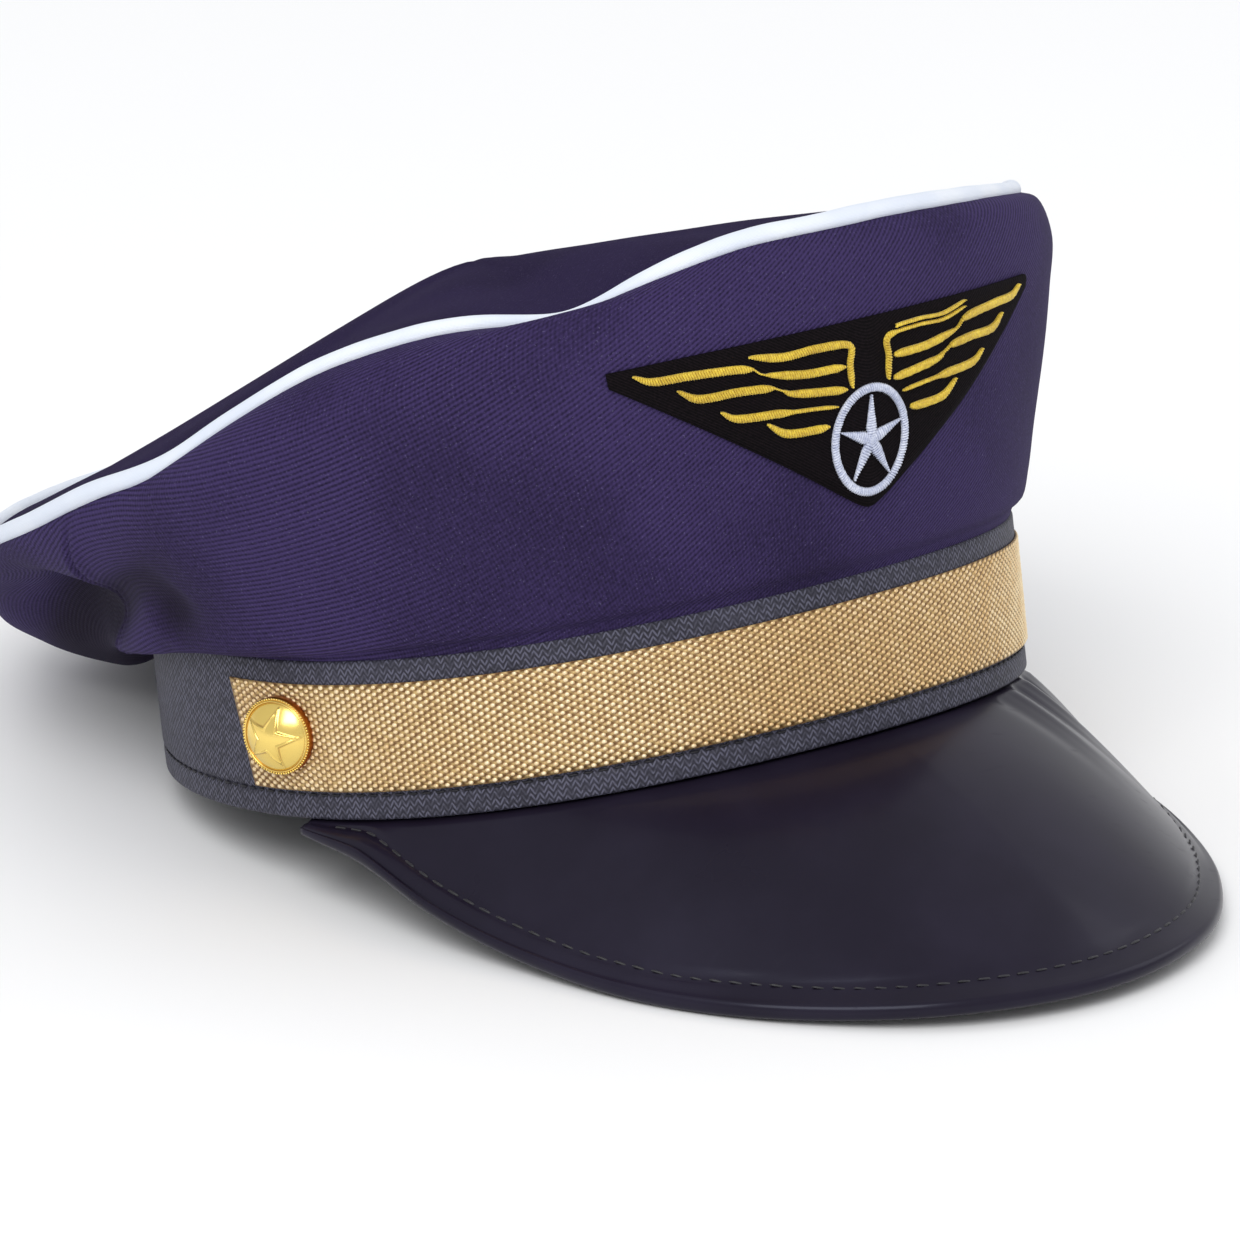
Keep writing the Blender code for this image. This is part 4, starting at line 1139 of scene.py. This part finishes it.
class CapRibbon(PropertyGroup):
    """Gold ribbon round the front of the band."""
    thickness: metres("Thickness", 0.5 * MM, "Thickness of the ground weave")
    pitch: metres("Bead pitch", 2.62 * MM, "Distance between two beads of a row")
    row: metres("Row pitch", 0.745 * MM, "Distance between two rows of beads")
    bead_height: metres("Bead height", 0.62 * MM, "How high a bead stands")
    colour: paint("Gilt", (1.0, 0.84, 0.56), "Bright yarn of the beads")
    deep: paint("Deep gilt", (0.80, 0.56, 0.28), "Darker yarn of the beads")
    shade: paint("Ground", (0.20, 0.10, 0.035), "Ground weave between the beads")


class CapButtons(PropertyGroup):
    """Dome buttons at the ribbon's ends."""
    dome: metres("Dome", 3.2 * MM, "Height of the dome")
    rim: metres("Rim", 1.7 * MM, "Height of the rim")
    relief: metres("Relief", 0.45 * MM, "Height of the star's ridges")
    colour: paint("Gold", (0.95, 0.70, 0.20), "Polished gold")
    # Tarnish at the dome's edge, and also painted shade beside the star's ridges and painted shadow on
    # the outer rim and skirt.
    tarnish_and_shade_colour: paint("Groove", (0.36, 0.10, 0.015), "Tarnish in the grooves")


class CapPeak(PropertyGroup):
    """Vinyl peak and its hem."""
    hem: metres("Hem", 7.4 * MM, "Distance of the stitched line from the edge")
    stitch: metres("Stitch", 4.2 * MM, "Distance between two stitches")
    colour: paint("Vinyl", (0.010, 0.007, 0.015), "Vinyl of the peak")
    haze_colour: paint("Haze", (0.017, 0.013, 0.026), "Faint haze on the vinyl")
    thread: paint("Thread", (0.020, 0.019, 0.026), "Thread of the hem")


class CapBadge(PropertyGroup):
    """Patch and embroidery."""
    thickness: metres("Thickness", 0.9 * MM, "Thickness of the patch")
    bar: metres("Bar", 2.1 * MM, "Width of a wing's bars")
    ring: metres("Ring", 2.0 * MM, "Width of the ring")
    thread: metres("Thread", 0.56 * MM, "Distance between two embroidery threads")
    relief: metres("Relief", 0.75 * MM, "Height of the satin stitching")
    patch: paint("Patch", (0.011, 0.007, 0.009), "Felt of the patch")
    yellow: paint("Yellow", (0.88, 0.66, 0.05), "Thread of the wings")
    yellow_deep: paint("Deep yellow", (0.52, 0.33, 0.015), "Shade between the yellow threads")
    silver: paint("Silver", (0.80, 0.83, 0.93), "Thread of the ring and star")
    silver_deep: paint("Deep silver", (0.42, 0.46, 0.62), "Shade between the silver threads")


class CapStage(PropertyGroup):
    """Floor, lights and camera."""
    floor: paint("Floor", (0.99, 0.99, 0.99), "Plain floor")
    ambient: amount("Ambient", 0.72, "Strength of the light from all round", 5.0)
    key: amount("Key", 26.0, "Power of the large light", 500.0, unit="POWER")
    fill: amount("Fill", 2.2, "Power of the side light", 500.0, unit="POWER")
    lens: amount("Lens", 269.665, "Focal length of the camera in millimetres", 600.0, 20.0)


class CAP_OT_crown(Operator):
    """Build the crown's wall and top in twill."""
    bl_idname = "cap.crown"
    bl_label = "Crown"

    def execute(self, context):
        settings = context.scene.cap_crown
        angles, grid, normals = wall_grid(settings)
        ribs = rib_chart(angles, grid)
        chart = np.concatenate([doubled(ribs), ribs[:, :1]], axis=1)
        wall = loft("crown_wall", shell_rings(grid, normals, settings.cloth),
                    twill_finish("navy_twill_wall", settings), uv=chart)
        # Painted shade for the wall's deep folds and the hollow under its sagging back.
        painted_shades = painted_shade_amounts(angles, np.linspace(0.0, 1.0, grid.shape[1]))
        store(wall.data, "tuck", doubled(painted_shades))
        wear(wall, "navy_twill", "crown_side", "crown_back")
        # The top panel takes a darker copy of the twill: painted shade.
        self.add_top(settings, twill_finish("navy_twill_top", settings, 0.55, 0.2))
        return {"FINISHED"}

    def add_top(self, settings, cloth):
        """Add the top panel: an outer and an inner dome, joined round the rim."""
        centre, grid = top_grid(settings)
        inner = grid + grid_normals(grid, True) * settings.cloth
        rim = (grid[:, -1] + inner[:, -1]) / 2 + unit(grid[:, -1] - grid[:, -2]) * settings.cloth * 0.3
        layers = np.concatenate([grid, rim[:, None], inner[:, ::-1]], axis=1)
        summit = centre + (grid[:, 0].mean(axis=0) - centre) * (0, 0, 1)
        verts = np.concatenate([layers.reshape(-1, 3), [summit, summit - (0, 0, settings.cloth)]])
        faces = capped_faces(*layers.shape[:2])
        corners = [(verts[v][0], verts[v][1] * 0.8 + verts[v][0] * 0.6) for face in faces for v in face]
        wear(add_mesh("crown_top_panel", verts, faces, cloth, corners), "navy_twill", "crown_top")


class CAP_OT_piping(Operator):
    """Build the piping in the crown's seam."""
    bl_idname = "cap.piping"
    bl_label = "Piping"

    def execute(self, context):
        finish = piping_finish(context.scene.cap_piping)
        radius = context.scene.cap_crown.piping_radius
        columns, sides = PIPING_GRID
        angles = full_turn(columns)
        centre = seam_points(angles)
        ahead = unit(seam_points(angles + 0.5) - seam_points(angles - 0.5))
        side = unit(np.cross(ahead, (0.0, 0.0, 1.0)))
        up = np.cross(side, ahead)
        turn = np.linspace(0, 2 * math.pi, sides, endpoint=False)[None, :, None]
        fat = radius * (1 + 0.05 * ripple(centre, 14 * MM, 31))[:, None, None]
        rings = centre[:, None] + (side[:, None] * np.cos(turn) + up[:, None] * np.sin(turn)) * fat
        wear(loft("piping_cord", rings, finish), "piping_white", "piping")
        return {"FINISHED"}


class CAP_OT_band(Operator):
    """Build the band with its soft edges and lower seam."""
    bl_idname = "cap.band"
    bl_label = "Band"

    def execute(self, context):
        settings = context.scene.cap_band
        angles = full_turn(BAND_COLUMNS)
        outer, inner = self.section(settings.seam_rise)
        rings = np.stack([band_points(angles, *place) for place in outer + inner], axis=1)
        floor = BAND_PRESS - BAND_LENGTH / 2 * math.sin(PITCH)
        lowest = (floor + rings[..., 1] * math.sin(PITCH)) / math.cos(PITCH)
        rings[..., 2] = np.maximum(rings[..., 2], lowest)
        face = rings[:, :len(outer)]
        uneven = ripple(face, 38 * MM, 41) * 0.25 * MM
        fade = np.clip(np.array([height for _, height in outer]) / (8 * MM), 0, 1)
        face += outward(angles)[:, None] * (uneven * fade)[..., None]
        wear(loft("band_cloth", rings, band_finish(settings), row=10), "band_cloth", "band")
        self.sew_seam(settings)
        return {"FINISHED"}

    def section(self, seam):
        """The band's section as (inset, height), with a dent at the seam: outer face, then inner."""
        soft = BAND_SOFT_EDGE
        foot = [(soft - soft * math.cos(a), soft + soft * math.sin(a))
                for a in np.radians(np.linspace(-90, 0, 6))]
        dent = [(BAND_DENT * bell(height - seam, BAND_DENT), height)
                for height in np.linspace(seam - 2.0 * MM, seam + 2.0 * MM, 11)]
        plain = [(0.0, h * MM) for h in (10.0, 14.0, 18.0, 22.0, 26.0, 30.0)]
        head = [(soft - soft * math.cos(a), BAND_HEIGHT - soft + soft * math.sin(a))
                for a in np.radians(np.linspace(0, 90, 6))]
        inner = [(BAND_WALL - 0.2 * MM, BAND_HEIGHT), (BAND_WALL, BAND_HEIGHT - 0.6 * MM)]
        inner += [(BAND_WALL, h * MM) for h in (26.0, 18.0, 10.0, 0.6)]
        return foot + dent + plain + head, inner + [(BAND_WALL - 0.2 * MM, 0.0)]

    def sew_seam(self, settings):
        """Stitches along the lower seam."""
        angles = full_turn(720)
        points = band_points(angles, 0.30 * MM, settings.seam_rise)
        path = add_path(points, outward(angles), 1.0, closed=True)
        thread = thread_finish("band_thread", settings.thread, roughness=0.6, sheen=0.0)
        shape = ("stitch", 0.2, 0.8)
        row = sew("band_stitches", path, thread, shape, settings.stitch, BAND_STITCH)
        wear(row, "band_cloth")


class CAP_OT_ribbon(Operator):
    """Build the gold ribbon and its woven beads."""
    bl_idname = "cap.ribbon"
    bl_label = "Ribbon"

    def execute(self, context):
        settings = context.scene.cap_ribbon
        angles = np.linspace(-RIBBON_END, RIBBON_END, RIBBON_GRID[0])
        heights = np.linspace(0.0, RIBBON_WIDTH, RIBBON_GRID[1])
        ends = -RIBBON_END_LEAN * np.sign(angles) * (np.abs(angles) / RIBBON_END) ** 8
        rings = []
        for offset, rows in ((settings.thickness, heights), (0.15 * MM, heights[::-1])):
            for height in rows:
                slant = angles + ends * (1 - 2 * height / RIBBON_WIDTH)
                rings.append(band_points(slant, -offset, RIBBON_RISE + height))
        rings = np.stack(rings, axis=1)
        ground = ribbon_finish(settings)
        wear(loft("ribbon_ground", rings, ground, closed=False), "gold_weave", "ribbon")
        outer = rings[:, :len(heights)]
        along = lengths_along(outer[None, :, len(heights) // 2])[0]
        chart = np.stack(np.broadcast_arrays(along[:, None], heights[None]), -1)
        columns, rows = outer.shape[:2]
        faces = grid_faces(columns, rows, columns - 1, rows - 1)
        corners = chart.reshape(-1, 2)[faces]
        strip = add_mesh("strip", outer.reshape(-1, 3), faces.tolist(), ground, corners, fix=False)
        beads = bead_tree().grow(
            strip, "ribbon_beads", Length=float(along[-1]), Width=RIBBON_WIDTH, Pitch=settings.pitch,
            Row=settings.row, Size=(settings.pitch * 0.46, settings.row * 1.30, settings.bead_height),
            Uneven=0.08, Seed=11, Finish=bead_finish(settings))
        wear(beads, "gold_weave")
        return {"FINISHED"}


class CAP_OT_buttons(Operator):
    """Build both dome buttons with star and rope rim."""
    bl_idname = "cap.buttons"
    bl_label = "Buttons"

    def execute(self, context):
        settings = context.scene.cap_buttons
        gold = button_finish(settings)
        for button in BUTTONS:
            self.add_dome(settings, gold, button.name, button.angle, math.radians(button.tilt))
            self.add_rope(settings, gold, button.name, button.angle)
        return {"FINISHED"}

    def add_dome(self, settings, gold, name, angle, tilt):
        """Add one button: its dome with the star in relief, and the lip round it."""
        radius = BUTTON_DIAMETER / 2
        inner = radius - BUTTON_RIM_WIDTH
        turns = np.linspace(0, 2 * math.pi, BUTTON_GRID[0], endpoint=False)
        r, t = np.meshgrid(np.linspace(0.02, 1.0, BUTTON_GRID[1]) * inner, turns)
        edge = star_edge(t - tilt, *BUTTON_STAR)
        relief = bell(r - edge, 0.30 * MM) + 0.2 * np.clip((edge - r) / (0.5 * MM), 0, 1)
        foot = settings.rim * 0.8
        rise = settings.dome * (1 - (r / inner) ** 2) ** 0.9 + foot + settings.relief * relief
        # Painted shade along the outer flank of the star's ridges; tarnish where the dome meets the
        # lip.
        groove = bell(r - edge - 0.42 * MM, 0.22 * MM) * 0.5
        groove += np.clip((r / inner - 0.975) / 0.025, 0, 1) * 0.8
        inset, lip, tarnish_and_shadow = (np.tile(column, (len(turns), 1)) for column in zip(*BUTTON_LIP))
        reach = np.concatenate([r, radius - inset], axis=1)
        rise = np.concatenate([rise, lip * settings.rim], axis=1)
        ends = [settings.dome + foot + settings.relief * 0.2, -BUTTON_FOOT * settings.rim]
        verts = np.concatenate([on_button(angle, reach, turns[:, None], rise).reshape(-1, 3),
                                on_button(angle, 0.0, 0.0, ends)])
        button = add_mesh("button_dome_" + name, verts, capped_faces(*reach.shape), gold)
        # The lip's darkening is tarnish at the dome's edge and painted shadow on the outer rim and
        # skirt.
        groove = np.concatenate([groove, tarnish_and_shadow], axis=1)
        store(button.data, "groove", np.append(groove, (0.0, 1.0)))
        wear(button, "brass", "button_" + name)

    def add_rope(self, settings, gold, name, angle):
        """Add the rope round one button's rim."""
        circle = np.linspace(0, 2 * math.pi, 90, endpoint=False)
        ring = on_button(angle, BUTTON_DIAMETER / 2 - 0.28 * MM, circle, settings.rim * 0.72)
        path = add_path(ring, np.tile(button_direction(angle), (len(ring), 1)), 1.0, closed=True)
        rope = sew("button_rope_" + name, path, gold, ("rope", 0.15, 0.8, 6, 5), ROPE_THREAD[1],
                   ROPE_THREAD, slant=math.radians(35), uneven=0.03)
        wear(rope, "brass")


class CAP_OT_peak(Operator):
    """Build the vinyl peak, its puffed hem, rolled edge and stitches."""
    bl_idname = "cap.peak"
    bl_label = "Peak"

    def execute(self, context):
        settings = context.scene.cap_peak
        shares = np.linspace(-1.0, 1.0, PEAK_GRID[0])
        upper, under, full = self.face(shares, settings)
        lower = upper + under * (PEAK_THICKNESS * full)[:, None, None]
        tip = unit(upper[:, -1] - upper[:, -2])
        below = under[:, -1]
        bead = (PEAK_EDGE_BEAD / 2 * full)[:, None]
        centre = upper[:, -1] + below * (PEAK_THICKNESS / 2 * full)[:, None]
        arc = [centre + (tip * math.cos(a) + below * math.sin(a)) * bead
               for a in np.radians(np.linspace(-115, 115, 13))]
        rings = np.concatenate([upper[:, :-1], np.stack(arc, axis=1), lower[:, -2::-1]], axis=1)
        wear(loft("peak_vinyl", rings, vinyl_finish(settings), closed=False), "black_vinyl", "peak")
        self.sew_hem(settings)
        return {"FINISHED"}

    def face(self, shares, settings):
        """Upper face of the peak: grid of points, the direction under it, and its fullness."""
        angles, out, down = peak_edges(shares)
        root = band_points(angles)
        reach = outward(angles)
        curve, full = self.profile(shares, out, down)
        along = unit(np.gradient(curve, axis=1))
        below = np.stack([along[..., 1], -along[..., 0]], -1)
        left = lengths_along(curve)
        left = left[:, -1:] - left + PEAK_EDGE_BEAD / 2 * full[:, None]
        hem = settings.hem * np.clip(full, HEM_LEAST, 1)[:, None]
        groove = HEM_GROOVE * bell(left - hem, HEM_GROOVE_WIDTH)
        puff = HEM_PUFF * np.sin(np.pi * np.clip(left / hem, 0, 1)) ** 2
        shift = (groove - puff) * full[:, None] + self.creases(angles, left)
        curve = curve + below * shift[..., None]
        lift = np.array([0.0, 0.0, 1.0])
        points = root[:, None] + reach[:, None] * curve[..., :1] + lift * curve[..., 1:]
        under = reach[:, None] * below[..., :1] + lift * below[..., 1:]
        return points, under, full

    def profile(self, shares, out, down):
        """Sections of the peak's upper face as (out, up), and how full its edge is at each."""
        start = np.array([-BAND_WALL + GAP, -GAP])
        corner = PEAK_BEND_DOWN + PEAK_BEND_CORNER * np.abs(shares)
        bend = np.stack([out * PEAK_BEND_OUT, -down * corner], -1)
        end = np.stack([out, -down], -1)
        run = np.linalg.norm(end - start, axis=1)
        full = np.minimum(1.0, run / (3 * PEAK_EDGE_BEAD))
        reach = 1 - PEAK_EDGE_BEAD / 2 * full / run
        t = np.linspace(0, 1, PEAK_GRID[1])[None, :, None] * reach[:, None, None]
        curve = (1 - t) ** 2 * start + 2 * t * (1 - t) * bend[:, None] + t * t * end[:, None]
        return curve, full

    def creases(self, angles, left):
        """Soft pleats that fan out from the band on the wearer's left."""
        fan = sum(pleat.depth * bell(angles - pleat.angle, pleat.spread) for pleat in PEAK_PLEATS)
        root = left[:, :1] - left
        return fan[:, None] * bell(root, 24 * MM) * np.clip(root / (3 * MM), 0, 1)

    def sew_hem(self, settings):
        """Stitches along the hem."""
        shares = np.linspace(-0.93, 0.93, 500)
        upper, under, full = self.face(shares, settings)
        points, ups = [], []
        for column, below, size in zip(upper, under, full):
            left = lengths_along(column)
            left = left[-1] - left + PEAK_EDGE_BEAD / 2 * size
            hem = settings.hem * np.clip(size, HEM_LEAST, 1)
            place = np.interp(-hem, -left, np.arange(len(left)))
            k = int(min(place, len(left) - 2))
            points.append(column[k] * (1 - place + k) + column[k + 1] * (place - k))
            ups.append(-below[k])
        thread = thread_finish("peak_thread", settings.thread, roughness=0.45, sheen=0.1)
        path = add_path(np.array(points), np.array(ups), 1.0)
        shape = ("stitch", 0.25, 0.8)
        row = sew("peak_stitches", path, thread, shape, settings.stitch, PEAK_STITCH)
        wear(row, "black_vinyl")


class CAP_OT_badge(Operator):
    """Build the patch, the wings, the ring and the star."""
    bl_idname = "cap.badge"
    bl_label = "Badge"

    def execute(self, context):
        settings = context.scene.cap_badge
        angles, grid, _ = wall_grid(context.scene.cap_crown)
        self.front = Front(angles, grid)
        self.settings = settings
        self.base = BADGE_LIFT + settings.thickness
        self.add_patch()
        yellow = thread_finish("yellow_satin", settings.yellow, settings.yellow_deep)
        silver = thread_finish("silver_satin", settings.silver, settings.silver_deep)
        for side, sign in (("right", -1), ("left", 1)):
            self.add_wing(side, sign, yellow)
        self.add_ring(silver)
        self.add_star(silver)
        return {"FINISHED"}

    def add_patch(self):
        """The three-cornered patch under the embroidery."""
        columns, rows = PATCH_GRID
        shares = np.linspace(-1, 1, columns)[:, None]
        rounded = np.sqrt(shares ** 2 + PATCH_CORNER ** 2)
        lower = PATCH_RISE + PATCH_HEIGHT * PATCH_SIDE_RISE * (rounded - PATCH_CORNER * 0.45)
        upper = PATCH_RISE + PATCH_HEIGHT * (1 - PATCH_TIP_DROP * shares ** 2)
        rise = np.linspace(0, 1, rows)[None]
        up = lower + (upper - lower) * rise
        along = shares * PATCH_WIDTH / 2 + 0 * up
        edge = np.minimum(rise, 1 - rise) * (upper - lower)
        soft = np.sqrt(np.clip(edge / (0.8 * MM), 0.0, 1.0))
        lift = 0.3 * MM + (self.settings.thickness - 0.1 * MM) * (0.45 + 0.55 * soft)
        outer = self.front.lifted(along, up, lift)
        rings = np.concatenate([outer, self.front.lifted(along, up, 0.1 * MM)[:, ::-1]], axis=1)
        patch = loft("patch_felt", rings, patch_finish(self.settings), closed=False)
        wear(patch, "patch_black", "badge_patch")

    def satin(self, name, path, widths, finish, closed=False, slant=0.0):
        """Satin stitching: a low rounded body along a path, with threads laid across it."""
        if closed:
            ahead = unit(np.roll(path, -1, axis=0) - np.roll(path, 1, axis=0))
        else:
            ahead = unit(np.gradient(path, axis=0))
        side = np.stack([-ahead[:, 1], ahead[:, 0]], axis=1)
        relief, pitch = self.settings.relief, self.settings.thread
        body = []
        for turn in np.radians(np.linspace(0, 180, 7)):
            spot = path - side * (widths * 0.44 * math.cos(turn))[:, None]
            lift = self.base - 0.1 * MM + 0.62 * math.sin(turn) * relief
            body.append(self.front.lifted(*spot.T, lift))
        rings = np.stack(body, axis=1)
        bed = loft(name + "_bed", rings, finish, closed)
        line = add_path(self.front.lifted(*path.T, self.base + 0.02 * MM), self.front.normal(*path.T),
                        widths, closed)
        row = sew(name, line, finish, ("satin", 0.55, 0.7, 5, 6), pitch, (pitch * 0.98, 1.06, relief),
                  slant=slant, uneven=0.05, seed=len(name))
        return join(name, [row, bed], finish)

    def add_wing(self, side, sign, finish):
        """One wing, a bar at a time."""
        for bar in WING_BARS:
            chart = np.array(bar.points + LINKS.get(bar.name, ()))
            points = chart * (sign * PATCH_WIDTH / 2, PATCH_HEIGHT) + (0.0, PATCH_RISE)
            last = len(points) - 1
            path = smooth(range(last + 1), points, np.linspace(0, last, BAR_STEPS * last + 1))
            run = lengths_along(path[None])[0]
            stop = run[BAR_STEPS * (len(bar.points) - 1)]
            inner = 0.35 + 0.65 * np.clip(run / (2.2 * MM), 0, 1) ** 0.6
            outer = 0.22 + 0.78 * np.clip((stop - run) / (4.5 * MM), 0, 1) ** 0.6
            begin, end, thin = THIN_STARTS.get(bar.name, (0.0, 0.01, 1.0))
            root = np.interp(run / stop, (begin, end), (thin, 1.0))
            widths = self.settings.bar * inner * outer * root
            name = f"wing_{side}_satin_{bar.name[4:]}"
            slant = math.radians(BAR_SLANT * sign)
            if (side, bar.name) == SPLIT_BAR:
                widths = widths * np.interp(run / stop, (0.30, 0.36), (1.0, 0.42))
                far = run > 0.34 * stop
                twin = path[far] + (0.0, SPLIT_RISE)
                strands = [self.satin("low", path, widths, finish, slant=slant),
                           self.satin("high", twin, widths[far], finish, slant=slant)]
                piece = join(name, strands, finish)
            else:
                piece = self.satin(name, path, widths, finish, slant=slant)
            wear(piece, "yellow_thread", f"wing_{side}_{bar.name}")

    def add_ring(self, finish):
        """The ring in the middle of the badge."""
        turns = np.linspace(0, 2 * math.pi, 96, endpoint=False)
        half = np.array([RING_SPAN - self.settings.ring, RING_HEIGHT - self.settings.ring]) / 2
        path = half * np.stack([np.sin(turns), np.cos(turns)], -1) + (0.0, PATCH_RISE + RING_RISE)
        widths = np.full(len(path), self.settings.ring)
        wear(self.satin("ring_satin", path, widths, finish, closed=True, slant=math.radians(12)),
             "silver_thread", "badge_ring")

    def add_star(self, finish):
        """The star inside the ring: five tapering arms of satin stitching."""
        centre = np.array([0.0, PATCH_RISE + RING_RISE])
        narrow = np.array([RING_SPAN / RING_HEIGHT, 1.0])
        arms = []
        for k in range(STAR_POINTS):
            turn = 2 * math.pi * k / STAR_POINTS
            reach = np.linspace(0.0, STAR_REACH, 22)
            path = centre + reach[:, None] * narrow * np.array([math.sin(turn), math.cos(turn)])
            wide = np.interp(reach / STAR_REACH, (0.0, 0.30, 1.0), (2.2 * MM, 2.9 * MM, 0.35 * MM))
            arms.append(self.satin(f"arm_{k}", path, wide, finish))
        wear(join("star_satin", arms, finish), "silver_thread", "badge_star")


class CAP_OT_stage(Operator):
    """Set the floor, the lights and the camera."""
    bl_idname = "cap.stage"
    bl_label = "Stage"

    def execute(self, context):
        settings = context.scene.cap_stage
        mesh = bpy.data.meshes.new("floor")
        square = np.array([(-1, -1, 0), (1, -1, 0), (1, 1, 0), (-1, 1, 0)]) * FLOOR_REACH
        mesh.from_pydata(square.tolist(), [], [(0, 1, 2, 3)])
        mesh.materials.append(floor_finish(settings))
        add_object("floor", mesh)
        world = bpy.data.worlds.new("studio")
        world.use_nodes = True
        sky = world.node_tree.nodes["Background"]
        sky.inputs["Color"].default_value = SKY
        sky.inputs["Strength"].default_value = settings.ambient
        context.scene.world = world
        for lamp in LAMPS:
            self.add_lamp(lamp, getattr(settings, lamp.power))
        context.scene.camera = self.add_camera(settings)
        context.scene.view_settings.view_transform = "Standard"
        return {"FINISHED"}

    def add_lamp(self, lamp, power):
        """Add one soft square light."""
        data = bpy.data.lights.new(lamp.name, "AREA")
        data.shape = "SQUARE"
        data.size = lamp.size
        data.energy = power
        light = add_object(lamp.name, data)
        light.location = lamp.place
        light.rotation_mode = "QUATERNION"
        direction = Vector((0, 0, lamp.aim)) - Vector(lamp.place)
        light.rotation_quaternion = direction.to_track_quat("-Z", "Y")

    def add_camera(self, settings):
        """Add the camera at the photograph's angle."""
        data = bpy.data.cameras.new("camera")
        data.lens = settings.lens
        data.sensor_width = 36.0
        data.clip_end = 20.0
        camera = add_object("camera", data)
        azimuth, elevation, roll = (math.radians(angle) for angle in CAMERA_ANGLES)
        turn = (Matrix.Rotation(azimuth, 4, "Z") @ Matrix.Rotation(math.pi / 2 - elevation, 4, "X")
                @ Matrix.Rotation(roll, 4, "Z"))
        camera.matrix_world = Matrix.Translation(CAMERA_PLACE) @ turn
        return camera


class CAP_PT_panel(Panel):
    """Lists the cap's pieces in the sidebar."""
    bl_idname = "CAP_PT_panel"
    bl_label = "Pilot cap"
    bl_space_type = "VIEW_3D"
    bl_region_type = "UI"
    bl_category = "Cap"

    def draw(self, context):
        for group, (kind, operator) in PIECES.items():
            box = self.layout.box()
            box.operator(operator.bl_idname)
            for key in kind.__annotations__:
                box.prop(getattr(context.scene, group), key)


PIECES = {
    "cap_crown": (CapCrown, CAP_OT_crown),
    "cap_piping": (CapPiping, CAP_OT_piping),
    "cap_band": (CapBand, CAP_OT_band),
    "cap_ribbon": (CapRibbon, CAP_OT_ribbon),
    "cap_buttons": (CapButtons, CAP_OT_buttons),
    "cap_peak": (CapPeak, CAP_OT_peak),
    "cap_badge": (CapBadge, CAP_OT_badge),
    "cap_stage": (CapStage, CAP_OT_stage),
}


def register():
    """Register the property groups, the operators and the panel."""
    for group, (kind, operator) in PIECES.items():
        bpy.utils.register_class(kind)
        bpy.utils.register_class(operator)
        setattr(bpy.types.Scene, group, PointerProperty(type=kind))
    bpy.utils.register_class(CAP_PT_panel)


def unregister():
    """Take everything out again."""
    bpy.utils.unregister_class(CAP_PT_panel)
    for group, (kind, operator) in PIECES.items():
        delattr(bpy.types.Scene, group)
        bpy.utils.unregister_class(operator)
        bpy.utils.unregister_class(kind)


def main():
    """Build every piece in order."""
    register()
    for obj in list(bpy.context.scene.objects):
        if obj.type in {"CAMERA", "LIGHT"}:
            bpy.data.objects.remove(obj)
    bpy.ops.cap.crown()
    bpy.ops.cap.piping()
    bpy.ops.cap.band()
    bpy.ops.cap.ribbon()
    bpy.ops.cap.buttons()
    bpy.ops.cap.peak()
    bpy.ops.cap.badge()
    bpy.ops.cap.stage()


if __name__ == "__main__":
    main()
